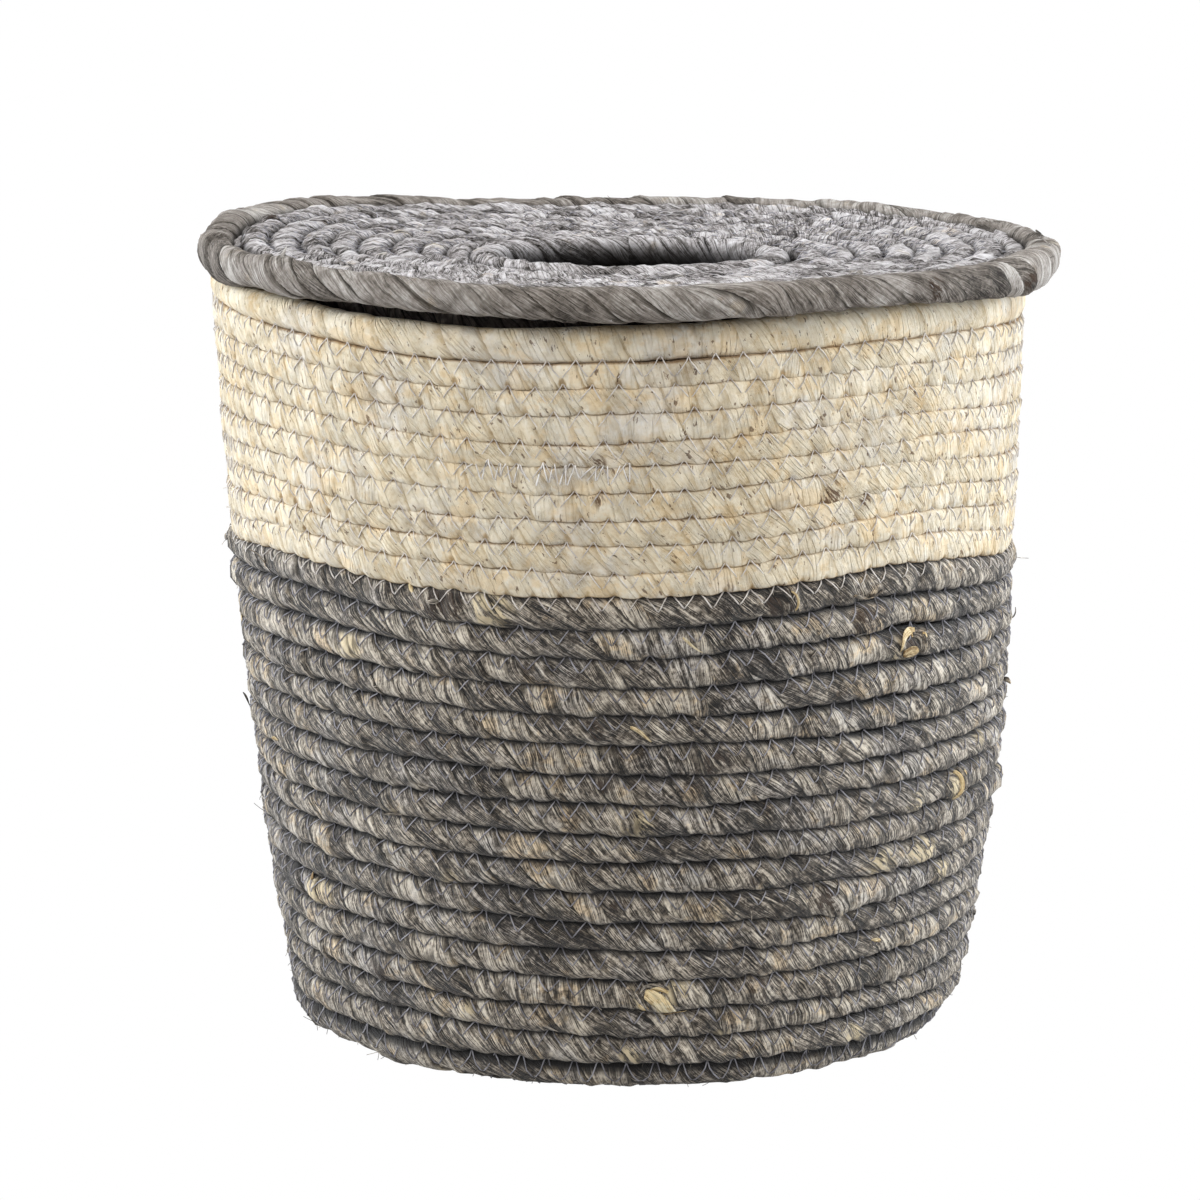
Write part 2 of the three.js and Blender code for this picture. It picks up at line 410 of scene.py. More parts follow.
@dataclass(frozen=True)
class LidShape:
    """The loose lid: a flat spiral between a hole rope and an edge rope, with a ring underneath.

    The spiral is cut short by a share of a turn at both ends, where it would taper to nothing.
    """

    outer_radius: float = 149.0
    hole_radius: float = 45.4
    rope: float = 10.2
    thickness: float = 10.0
    edge_width: float = 10.8
    edge_height: float = 10.5
    hole_width: float = 11.0
    hole_height: float = 10.5
    locating_outer: float = 126.45
    locating_width: float = 10.0
    locating_height: float = 10.0
    locating_gap: float = 0.3
    underside: float = 263.3
    cut_short: float = 0.05
    seam_waves: tuple[Wave, ...] = (Wave(0.05, 21, 0.45), Wave(0.16, 22, 0.45))
    shift_x: float = 2.3
    dish: float = 3.2
    swells: tuple[Swell, ...] = (
        Swell(-112.0, 30.0, 8.9),
        Swell(-52.0, 16.0, 3.5),
        Swell(-5.0, 24.0, 1.9),
        Swell(30.0, 14.0, 2.6),
        Swell(75.0, 28.0, 2.7),
        Swell(145.0, 30.0, 3.0),
        Swell(-29.0, 11.0, 1.0),
    )

    @property
    def inner_edge(self) -> float:
        """Radius where the spiral starts, against the hole rope."""
        return self.hole_radius + self.hole_width

    @property
    def outer_edge(self) -> float:
        """Radius where the spiral ends, against the edge rope."""
        return self.outer_radius - self.edge_width


class LidCoil:
    """Places the rope of the lid's flat spiral, which runs from the hole outwards."""

    def __init__(self, shape: LidShape) -> None:
        """Works out the pitch and the rope's length at each turn.

        Args:
            shape: The sizes of the lid.
        """
        self.shape = shape
        span = shape.outer_edge - shape.inner_edge
        self.count = round(span / shape.rope)
        self.pitch = span / self.count
        self.first_turn = shape.cut_short
        self.last_turn = self.count + 1 - shape.cut_short
        self.turns = np.linspace(0.0, self.count + 1.0, 8000)
        inner, outer = self.edges(self.turns)
        middle = 0.5 * (inner + outer)
        growth = FULL_TURN * 0.5 * (middle[1:] + middle[:-1]) * np.diff(self.turns)
        self.lengths = np.concatenate([[0.0], np.cumsum(growth)])

    def seam(self, turn: np.ndarray) -> np.ndarray:
        """Radius of the seam outside each turn: even steps with random waves, calm at both end ropes.

        Args:
            turn: Turns of the rope inside each seam.

        Returns:
            The radius of the seams.
        """
        calm = 0.3
        even = np.clip(turn, 0, self.count)
        free = smoothstep(0.0, calm, turn) * (1.0 - smoothstep(self.count - calm, self.count, turn))
        return self.shape.inner_edge + self.pitch * even + wave_sum(turn, self.shape.seam_waves) * free

    def edges(self, turn: np.ndarray) -> tuple[np.ndarray, np.ndarray]:
        """Radius of the rope's inner and outer side at each turn."""
        return self.seam(turn - 1.0), self.seam(turn)

    def length_at(self, turn: np.ndarray) -> np.ndarray:
        """Rope used up to each turn."""
        return np.interp(turn, self.turns, self.lengths)

    def turn_at(self, length: np.ndarray) -> np.ndarray:
        """Turn reached at each length of rope."""
        return np.interp(length, self.lengths, self.turns)

    def sections(self, turn: np.ndarray) -> Sections:
        """Sections of the spiral at each turn, facing up, with the next row towards the hole.

        Both ends taper, and the rope there is down to 55% of its thickness.

        Args:
            turn: Turns to place, in any shape of array.

        Returns:
            The sections.
        """
        inner, outer = self.edges(turn)
        half_width = 0.5 * (outer - inner)
        thin = smoothstep(0.0, 0.5 * self.pitch, half_width)
        half_thickness = 0.5 * self.shape.thickness * (0.55 + 0.45 * thin)
        height = self.shape.underside + half_thickness
        radius = 0.5 * (inner + outer)
        sideways, upright = np.full_like(radius, -1.0), np.zeros_like(radius)
        phi, length = math.pi - FULL_TURN * turn, self.length_at(turn)
        return Sections(radius, height, phi, sideways, upright, half_width, half_thickness, length)


@dataclass(frozen=True)
class RopeRing:
    """Places a ring of rope: one turn at one radius, whose ends meet at the back."""

    radius: float
    height: float
    width: float
    thickness: float
    facing_in: bool = False
    fuller: tuple[Swell, ...] = ()
    first_turn: float = 0.0
    last_turn: float = 1.0

    def length_at(self, turn: np.ndarray) -> np.ndarray:
        """Rope used up to each turn."""
        return FULL_TURN * self.radius * np.asarray(turn, float)

    def turn_at(self, length: np.ndarray) -> np.ndarray:
        """Turn reached at each length of rope."""
        return np.asarray(length, float) / (FULL_TURN * self.radius)

    def sections(self, turn: np.ndarray) -> Sections:
        """Sections of the ring at each turn: its cut side faces the spiral that it is sewn to.

        Where the rope is fuller, it hangs lower and is a little wider.

        Args:
            turn: Turns to place, in any shape of array.

        Returns:
            The sections.
        """
        same = np.ones_like(np.asarray(turn, float))
        side = -same if self.facing_in else same
        phi = math.pi - FULL_TURN * turn
        extra = swell_rise(phi, self.fuller) + 0.0 * same
        return Sections(
            radius=self.radius * same,
            height=self.height - 0.5 * extra,
            phi=phi,
            along_r=side,
            along_z=0.0 * same,
            half_width=0.5 * self.width + 0.15 * extra,
            half_thickness=0.5 * (self.thickness + extra),
            length=self.length_at(turn),
        )


@dataclass(frozen=True)
class Wrapping:
    """How dried leaf is wound round a rope: strips that overlap, lean and lump.

    Strips are between the least and the most wide. The lean is how far they run along the rope for
    each unit round it. Fill is how far the rope fills its place, and from the groove shade's share of the
    way to the seam onwards, shade is painted on its leaf. A free side is one that no other rope lies
    against.
    """

    strip_least: float
    strip_most: float
    lean: float
    lean_sway: float
    overlap: float
    lump: float
    swell: float
    squareness: float
    fill: float
    seed: int
    knuckle: float = 0.0
    groove_shade_from: float = 0.7
    free_side: bool = False
    # Underside shade is painted shade that grows round the rope from 20 to 108 degrees and covers its
    # lower side.
    underside_shade: float = 0.0


@dataclass(frozen=True)
class SeamStitch:
    """The zigzag that sews two rows together, measured from the seam between them."""

    pitch: float = 8.7
    above: float = 0.8
    below: float = 4.3
    jitter: float = 0.5
    thread: float = 0.25
    lift: float = 0.24
    sunk: float = 0.18
    dent: float = 0.45
    dent_width: float = 1.2
    seed: int = 70


@dataclass(frozen=True)
class Knot:
    """A splice, leaf end or blemish on a row: a local bulge, pale above 0 and brown below it, the brown
    partly painted shade.
    """

    turn: float
    theta: float
    reach: float
    height: float
    tone: float


@dataclass(frozen=True)
class SkinPoints:
    """Points on a rope's skin and what its finish needs to know about them."""

    points: np.ndarray
    strip: np.ndarray
    across: np.ndarray
    fibre: np.ndarray
    groove_shade: np.ndarray
    spot: np.ndarray
    prick: np.ndarray


@dataclass
class Skin:
    """The wrapped skin of a rope, as points, texture coordinates and shades for any place on it.

    Its random waves each have a spacing along the rope, and a number that is added to the seed.
    """

    STRIPS = 9000
    STRIPS_BEFORE = 60.0
    SECTION_STEPS = 1440
    LEAN_SPACING, LEAN_SEED = 31.0, 3
    CURL_SPACING, CURL_SEED, CURL = 9.0, 11, 0.5
    LUMP_SPACING, LUMP_SEED = 4.2, 5
    SWELL_SPACING, SWELL_SEED = 24.0, 7

    path: Wall | LidCoil | RopeRing
    wrapping: Wrapping
    stitch: SeamStitch | None = None
    knots: tuple[Knot, ...] = ()
    edges: np.ndarray = field(init=False)

    def __post_init__(self) -> None:
        """Draws the width of every strip, and measures the way round a section at each angle."""
        rng = np.random.default_rng(self.wrapping.seed)
        widths = rng.uniform(self.wrapping.strip_least, self.wrapping.strip_most, self.STRIPS)
        self.edges = np.concatenate([[0.0], np.cumsum(widths)]) - self.STRIPS_BEFORE
        self.edge_height = rng.uniform(0.1, 1.0, self.STRIPS + 1) ** 1.3
        self.angles = np.linspace(-0.5 * math.pi, 1.5 * math.pi, self.SECTION_STEPS + 1)
        out, side = self.squared(self.angles)
        way = np.concatenate([[0.0], np.cumsum(np.hypot(np.diff(out), np.diff(side)))])
        self.ways = way / way[-1] * FULL_TURN - 0.5 * math.pi

    def squared(self, theta: np.ndarray) -> tuple[np.ndarray, np.ndarray]:
        """Cos and sin of an angle, each to the power 2 over the squareness, with its sign kept.

        Args:
            theta: Angle round the rope, in radians.

        Returns:
            The share of the half thickness outwards, and of the half width sideways.
        """
        power = 2.0 / self.wrapping.squareness
        out, side = np.cos(theta), np.sin(theta)
        return np.sign(out) * np.abs(out) ** power, np.sign(side) * np.abs(side) ** power

    def lean_at(self, length: np.ndarray) -> np.ndarray:
        """How far the fibres run along the rope for each unit round it."""
        sway = value_noise(length, self.LEAN_SPACING, self.wrapping.seed + self.LEAN_SEED)
        return self.wrapping.lean + self.wrapping.lean_sway * sway

    def strips(self, across: np.ndarray) -> np.ndarray:
        """Finds the strip at each place.

        Args:
            across: Distance across the strips.

        Returns:
            The strip's number, plus the share of its width that lies before the place.
        """
        index = np.clip(np.searchsorted(self.edges, across, "right") - 1, 0, len(self.edges) - 2)
        share = (across - self.edges[index]) / (self.edges[index + 1] - self.edges[index])
        return index + np.clip(share, 0.0, 0.9999)

    def wrapped(self, length: np.ndarray, theta: np.ndarray, strip: np.ndarray) -> np.ndarray:
        """How far the wrapping stands out.

        A strip rises steeply at its free edge and falls to where the next one covers it. A knuckled
        one is an arch of the square root of 4s(1 - s). Lumps and swells come on top.

        Args:
            length: Distance along the rope.
            theta: Angle round the rope, in radians.
            strip: Number of the strip, plus the share s of its width before the place.

        Returns:
            The rise at each place.
        """
        wrapping = self.wrapping
        share = strip - np.floor(strip)
        arch = np.sqrt(np.maximum(4.0 * share * (1.0 - share), 0.0))
        rise = smoothstep(0.0, 0.12, share) * (1.0 - 0.9 * share)
        rise = rise + (arch - rise) * wrapping.knuckle
        raised = wrapping.overlap * rise * self.edge_height[strip.astype(int)]
        lumps = lump_noise(length, theta, self.LUMP_SPACING, 6, wrapping.seed + self.LUMP_SEED)
        swells = value_noise(length, self.SWELL_SPACING, wrapping.seed + self.SWELL_SEED)
        return raised + wrapping.lump * lumps + wrapping.swell * swells

    def add_knots(
        self, raised: np.ndarray, spot: np.ndarray, length: np.ndarray, way: np.ndarray, girth: np.ndarray
    ) -> None:
        """Raises and tones the skin at every knot, as a bell over the distance from its middle.

        Args:
            raised: How far the skin stands out, which is changed in place.
            spot: Tone of the knots, which is changed in place.
            length: Distance along the rope.
            way: Distance round the rope.
            girth: Mean of half width and half thickness.
        """
        for knot in self.knots:
            along = length - self.path.length_at(np.float64(knot.turn))
            near = np.abs(along) < 4.0 * knot.reach
            middle = girth[near] * np.interp(math.radians(knot.theta), self.angles, self.ways)
            hill = bump(np.hypot(along[near], way[near] - middle), knot.reach)
            raised[near] += knot.height * hill
            spot[near] += knot.tone * hill

    def sample(self, turn: np.ndarray, theta: np.ndarray, lift: np.ndarray | float = 0.0) -> SkinPoints:
        """Points on the skin: a squared ellipse with the strips, lumps, dents and knots on it.

        The wrapping stands out half as far where another rope presses on it.

        Args:
            turn: Turn of each point.
            theta: Angle round the rope of each point, in radians.
            lift: Distance out of the skin.

        Returns:
            The points and their strip numbers, ways across and along the fibres, and shades.
        """
        turn, theta = np.broadcast_arrays(np.asarray(turn, float), np.asarray(theta, float))
        cut = self.path.sections(turn)
        wrapping = self.wrapping
        out, side = self.squared(theta)
        girth = 0.5 * (cut.half_width + cut.half_thickness)
        way = girth * np.interp(theta, self.angles, self.ways)
        curl = lump_noise(cut.length, theta, self.CURL_SPACING, 3, wrapping.seed + self.CURL_SEED)
        across = cut.length - way * self.lean_at(cut.length) + self.CURL * curl
        strip = self.strips(across)
        contact = np.maximum(-side, 0.0) if wrapping.free_side else np.abs(side)
        raised = self.wrapped(cut.length, theta, strip) * (1.0 - 0.5 * contact**6) + lift
        spot, prick = np.zeros(turn.shape), np.zeros(turn.shape)
        self.add_knots(raised, spot, cut.length, way, girth)
        if self.stitch is not None:
            # The dents cut the skin in and also set the painted shade at the needle holes.
            prick = self.dents(turn, side * cut.half_width, cut.half_width)
            raised = raised - self.stitch.dent * prick
        width = wrapping.fill * side * cut.half_width
        depth = out * cut.half_thickness
        size = np.maximum(np.hypot(out, side), 1e-6)
        width, depth = width + raised * side / size, depth + raised * out / size
        radius = cut.radius + cut.along_r * width + cut.along_z * depth
        height = np.maximum(cut.height + cut.along_z * width - cut.along_r * depth, 0.0)
        points = np.stack([radius * np.sin(cut.phi), -radius * np.cos(cut.phi), height], axis=-1)
        steep = 1.0 / math.hypot(1.0, wrapping.lean)
        fibre = (cut.length * wrapping.lean + way) * steep
        # Painted shade: the groove shade grows towards the seams, where the rows press together.
        groove_shade = smoothstep(wrapping.groove_shade_from, 1.0, contact * wrapping.fill)
        # Painted shade on the rope's lower side, as far as the underside shade asks.
        below = wrapping.underside_shade * smoothstep(math.radians(20.0), math.radians(108.0), theta)
        groove_shade = np.maximum(groove_shade, below)
        return SkinPoints(points, strip, across * steep, fibre, groove_shade, spot, prick)

    def dents(self, turn: np.ndarray, place: np.ndarray, half: np.ndarray) -> np.ndarray:
        """Where the zigzag pulls the skin in: a bell round each needle hole of both seams.

        Args:
            turn: Turn of each point.
            place: Its distance from the row's middle, towards the next row.
            half: Half of the row's width.

        Returns:
            A number from 0 to about 1 at each point.
        """
        stitch = self.stitch
        depth = np.zeros(turn.shape)
        for seam_turn, hole, phase in (
            (turn, half - stitch.below, 0.5),
            (turn - 1.0, -half + stitch.above, 0.0),
        ):
            beat = self.path.length_at(seam_turn) / stitch.pitch - phase
            along = (beat - np.round(beat)) * stitch.pitch
            depth = depth + bump(np.hypot(along, place - hole), stitch.dent_width)
        return depth

    def theta_at(self, place: np.ndarray, half: np.ndarray, inside: bool) -> np.ndarray:
        """Angle round the rope of a point at a distance from the row's middle.

        Args:
            place: The distance, towards the next row.
            half: Half of the row's width.
            inside: True for the side of the work that faces in.

        Returns:
            The angle, in radians.
        """
        share = np.clip(place / (half * self.wrapping.fill), -0.999, 0.999)
        angle = np.arcsin(np.sign(share) * np.abs(share) ** (0.5 * self.wrapping.squareness))
        return math.pi - angle if inside else angle

    def frame_at(self, turn: np.ndarray, theta: np.ndarray) -> tuple[np.ndarray, np.ndarray, np.ndarray]:
        """Finds places on the skin and which way it faces there.

        Args:
            turn: Turn of each point.
            theta: Angle round the rope of each point, in radians.

        Returns:
            The points, the directions out of the skin and the directions along the rope.
        """
        here = self.sample(turn, theta).points
        out = self.sample(turn, theta, 1.0).points - here
        ahead = self.sample(np.asarray(turn) + 0.002, theta).points - here
        out /= np.linalg.norm(out, axis=-1, keepdims=True)
        ahead -= out * np.sum(ahead * out, axis=-1, keepdims=True)
        ahead /= np.linalg.norm(ahead, axis=-1, keepdims=True)
        return here, out, ahead


class MeshPiece:
    """A mesh object made from arrays, with its texture coordinates and shades."""

    def __init__(self, name: str, points: np.ndarray, loops: np.ndarray, starts: np.ndarray) -> None:
        """Makes the object and its mesh.

        Args:
            name: The object's name.
            points: Corner points in millimetres.
            loops: Point numbers of the faces' corners, one face after another.
            starts: Where each face's corners start in loops.
        """
        self.mesh = bpy.data.meshes.new(name)
        self.mesh.vertices.add(len(points))
        self.mesh.vertices.foreach_set("co", (points * MM).astype(np.float32).ravel())
        self.mesh.loops.add(len(loops))
        self.mesh.loops.foreach_set("vertex_index", loops.astype(np.int32))
        self.mesh.polygons.add(len(starts))
        self.mesh.polygons.foreach_set("loop_start", starts.astype(np.int32))
        self.mesh.update(calc_edges=True)
        self.mesh.validate()
        self.mesh.shade_smooth()
        self.corner_points = loops
        self.object = bpy.data.objects.new(name, self.mesh)
        bpy.context.scene.collection.objects.link(self.object)

    def add_uv(self, name: str, values: np.ndarray) -> None:
        """Adds a texture coordinate map, one pair of values for each face corner."""
        layer = self.mesh.uv_layers.new(name=name)
        layer.data.foreach_set("uv", values.astype(np.float32).ravel())

    def add_point_uv(self, name: str, values: np.ndarray) -> None:
        """Adds a texture coordinate map, one pair of values for each point."""
        self.add_uv(name, values.reshape(-1, 2)[self.corner_points])

    def add_shade(self, name: str, values: np.ndarray) -> None:
        """Adds a number at each point, which materials read by its name."""
        attribute = self.mesh.attributes.new(name, "FLOAT", "POINT")
        attribute.data.foreach_set("value", values.astype(np.float32).ravel())

    def finish(self, body: Body, material: bpy.types.Material, slot: str, *nodes: str) -> bpy.types.Object:
        """Dresses the piece and ties it to its body and the nodes it stands for.

        Args:
            body: The body that the piece rides on.
            material: What it is made of.
            slot: The material slot of the record; not used.
            nodes: Nodes of the part that the piece replaces.

        Returns:
            The piece's object.
        """
        self.mesh.materials.append(material)
        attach(self.object, body.value)
        if nodes:
            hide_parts(*nodes)
        log.info("%s: %d faces on %s", self.object.name, len(self.mesh.polygons), body.value)
        return self.object


def grid_faces(rows: int, columns: int) -> tuple[np.ndarray, np.ndarray, np.ndarray]:
    """Faces of a tube of rows by columns points that closes round its columns.

    Args:
        rows: Number of rings along the tube.
        columns: Number of points round it.

    Returns:
        Point numbers of each four-sided face's corners, and the row and column of each corner,
        where the column after the last counts on.
    """
    row, column = np.meshgrid(np.arange(rows - 1), np.arange(columns), indexing="ij")
    corner_row = np.stack([row, row, row + 1, row + 1], axis=-1).reshape(-1)
    corner_column = np.stack([column, column + 1, column + 1, column], axis=-1).reshape(-1)
    return corner_row * columns + corner_column % columns, corner_row, corner_column


def rope_angles(columns: int) -> np.ndarray:
    """Angles round a rope from the hidden cut at -90 degrees, closer together on the outside.

    Each even angle e from the cut moves by 0.22 sin(2e), times a share that is 1 outside and 0 inside.

    Args:
        columns: Number of points round the rope.

    Returns:
        The angles, in radians.
    """
    from_cut = np.linspace(0.0, FULL_TURN, columns, endpoint=False)
    even = from_cut - 0.5 * math.pi
    outside = 0.5 * (1.0 + np.cos(even))
    return even - 0.22 * np.sin(2.0 * from_cut) * outside


def rope_piece(name: str, skin: Skin, first: float, last: float, step: float, columns: int) -> MeshPiece:
    """A length of wrapped rope as a closed tube.

    Args:
        name: The piece's name.
        skin: The wrapped skin to sample.
        first: Turn where the rope starts.
        last: Turn where it ends.
        step: Distance between rings along the rope.
        columns: Number of points round the rope.

    Returns:
        The piece, with its maps and shades.
    """
    start, end = (float(skin.path.length_at(np.float64(t))) for t in (first, last))
    rings = max(8, int((end - start) / step))
    turn = skin.path.turn_at(np.linspace(start, end, rings))
    theta = rope_angles(columns)
    wide = np.append(theta, theta[0] + FULL_TURN)
    skinned = skin.sample(turn[:, None], wide[None, :])
    faces, corner_row, corner_column = grid_faces(rings, columns)
    caps = np.concatenate([np.arange(columns)[::-1], np.arange(columns) + (rings - 1) * columns])
    starts = np.concatenate([np.arange(0, len(faces), 4), [len(faces), len(faces) + columns]])
    points = skinned.points[:, :columns].reshape(-1, 3)
    piece = MeshPiece(name, points, np.concatenate([faces, caps]), starts)
    cap_column = np.concatenate([np.arange(columns)[::-1], np.arange(columns)])
    cap_row = np.repeat([0, rings - 1], columns)
    rows, cols = np.concatenate([corner_row, cap_row]), np.concatenate([corner_column, cap_column])
    fibre = skinned.fibre[rows, cols]
    piece.add_uv("fibre", np.stack([skinned.across[rows, cols], fibre], axis=-1))
    piece.add_uv("strip", np.stack([skinned.strip[rows, cols], fibre], axis=-1))
    for shade in ("groove_shade", "spot", "prick"):
        piece.add_shade(shade, getattr(skinned, shade)[:, :columns])
    return piece


def ribbon_piece(
    name: str,
    paths: np.ndarray,
    sideways: np.ndarray,
    half_widths: np.ndarray,
    half_thickness: float,
    sides: int,
) -> MeshPiece:
    """Many short ribbons as one piece, each with an elliptical section that follows its path.

    No point lies lower than 0.1 mm, and each ribbon's leaf pattern starts apart from the last one's.

    Args:
        name: The piece's name.
        paths: Points of every path, as paths by points by three.
        sideways: Direction of the wide side at each point.
        half_widths: Half of the width at each point.
        half_thickness: Half of the thickness.
        sides: Number of sides of each section.

    Returns:
        The piece, with the maps that leaf finishes read.
    """
    count, steps, _ = paths.shape
    lowest, apart_across, apart_along = 0.1, 7.3, 3.1
    ahead = np.gradient(paths, axis=1)
    ahead /= np.linalg.norm(ahead, axis=-1, keepdims=True) + 1e-9
    up = np.cross(ahead, sideways)
    up /= np.linalg.norm(up, axis=-1, keepdims=True) + 1e-9
    wide = np.cross(up, ahead)
    around = np.arange(sides) * FULL_TURN / sides
    ring = wide[:, :, None] * (half_widths[:, :, None] * np.cos(around))[..., None]
    ring = ring + up[:, :, None] * (half_thickness * np.sin(around))[:, None]
    points = (paths[:, :, None] + ring).reshape(-1, 3)
    points[:, 2] = np.maximum(points[:, 2], lowest)
    faces, _, _ = grid_faces(steps, sides)
    caps = np.concatenate([np.arange(sides)[::-1], np.arange(sides) + (steps - 1) * sides])
    one = np.concatenate([faces, caps])
    sizes = np.concatenate([np.full(len(faces) // 4, 4), [sides, sides]])
    loops = (one[None, :] + (np.arange(count) * steps * sides)[:, None]).reshape(-1)
    starts = np.concatenate([[0], np.cumsum(np.tile(sizes, count))[:-1]])
    piece = MeshPiece(name, points, loops, starts)
    length = np.cumsum(np.linalg.norm(np.diff(paths, axis=1, prepend=paths[:, :1]), axis=-1), axis=1)
    number = np.arange(count)[:, None, None] + np.zeros((count, steps, sides))
    across = half_widths[:, :, None] * np.cos(around) + number * apart_across
    along = length[:, :, None] + number * apart_along + np.zeros(sides)
    piece.add_point_uv("fibre", np.stack([across, along], axis=-1))
    piece.add_point_uv("strip", np.stack([number + 0.5, along], axis=-1))
    return piece


def thread_piece(name: str, paths: np.ndarray, radius: float, sides: int = 4) -> MeshPiece:
    """Many short round threads of one radius as one piece.

    Args:
        name: The piece's name.
        paths: Points of every path, as paths by points by three.
        radius: Radius of the threads.
        sides: Number of sides of each thread.

    Returns:
        The piece.
    """
    mostly_up = np.broadcast_to(np.array([0.31, 0.17, 0.93]), paths.shape)
    return ribbon_piece(name, paths, mostly_up, np.full(paths.shape[:2], radius), radius, sides)


def zigzag_paths(skin: Skin, first: float, last: float, inside: bool = False) -> np.ndarray:
    """Paths of the thread's legs over the seam above a stretch of rope.

    Each leg leaves a needle hole in the upper row, crosses the groove and enters the lower row, with
    points at five shares of its way. Every second leg is sunk a little into the leaf.

    Args:
        skin: Skin of the rope, with its stitch.
        first: Turn where the sewing starts.
        last: Turn where it ends.
        inside: True for the legs on the inside of the work.

    Returns:
        The paths, as legs by points by three.
    """
    stitch = skin.stitch
    rng = np.random.default_rng(stitch.seed + int(inside))
    start, end = (float(skin.path.length_at(np.float64(t))) for t in (first, last))
    beats = np.arange(math.ceil(start / stitch.pitch) * 2, int(end / stitch.pitch) * 2) * 0.5
    strays = rng.uniform(-stitch.jitter, stitch.jitter, (len(beats), 2))
    places = beats * stitch.pitch + strays[:, 0]
    over = (np.arange(len(beats)) + int(beats[0] * 2)) % 2 == 0
    reach = np.where(over, stitch.above, -stitch.below) + strays[:, 1]
    share = np.array([0.0, 0.16, 0.45, 0.8, 1.0])
    down = over[:-1][:, None]
    share = np.where(down, share[None, :], 1.0 - share[::-1][None, :])
    lengths = places[:-1, None] + np.diff(places)[:, None] * share
    heights = reach[:-1, None] + np.diff(reach)[:, None] * share
    lift = stitch.lift - np.where(down, 0.0, stitch.sunk) * rng.uniform(0.3, 1.6, down.shape)
    lift = lift + np.zeros(heights.shape)
    lift[:, [0, -1]] = -stitch.lift
    turn = skin.path.turn_at(lengths)
    upper = heights > 0
    row_turn = np.where(upper, turn + 1.0, turn)
    half = skin.path.sections(row_turn).half_width
    place = np.where(upper, -half + heights, half + heights)
    paths = skin.sample(row_turn, skin.theta_at(place, half, inside), lift).points
    paths[..., 2] = np.maximum(paths[..., 2], stitch.thread)
    return paths


@dataclass(frozen=True)
class Curl:
    """A leaf end that curls on a row: a curve of three points, each right of and above a place on it.

    Its broad side leans out of the skin as much as the lean says, and lies flat at 0.
    """

    turn: float
    points: tuple[tuple[float, float], tuple[float, float], tuple[float, float]]
    half_width: float
    lean: float


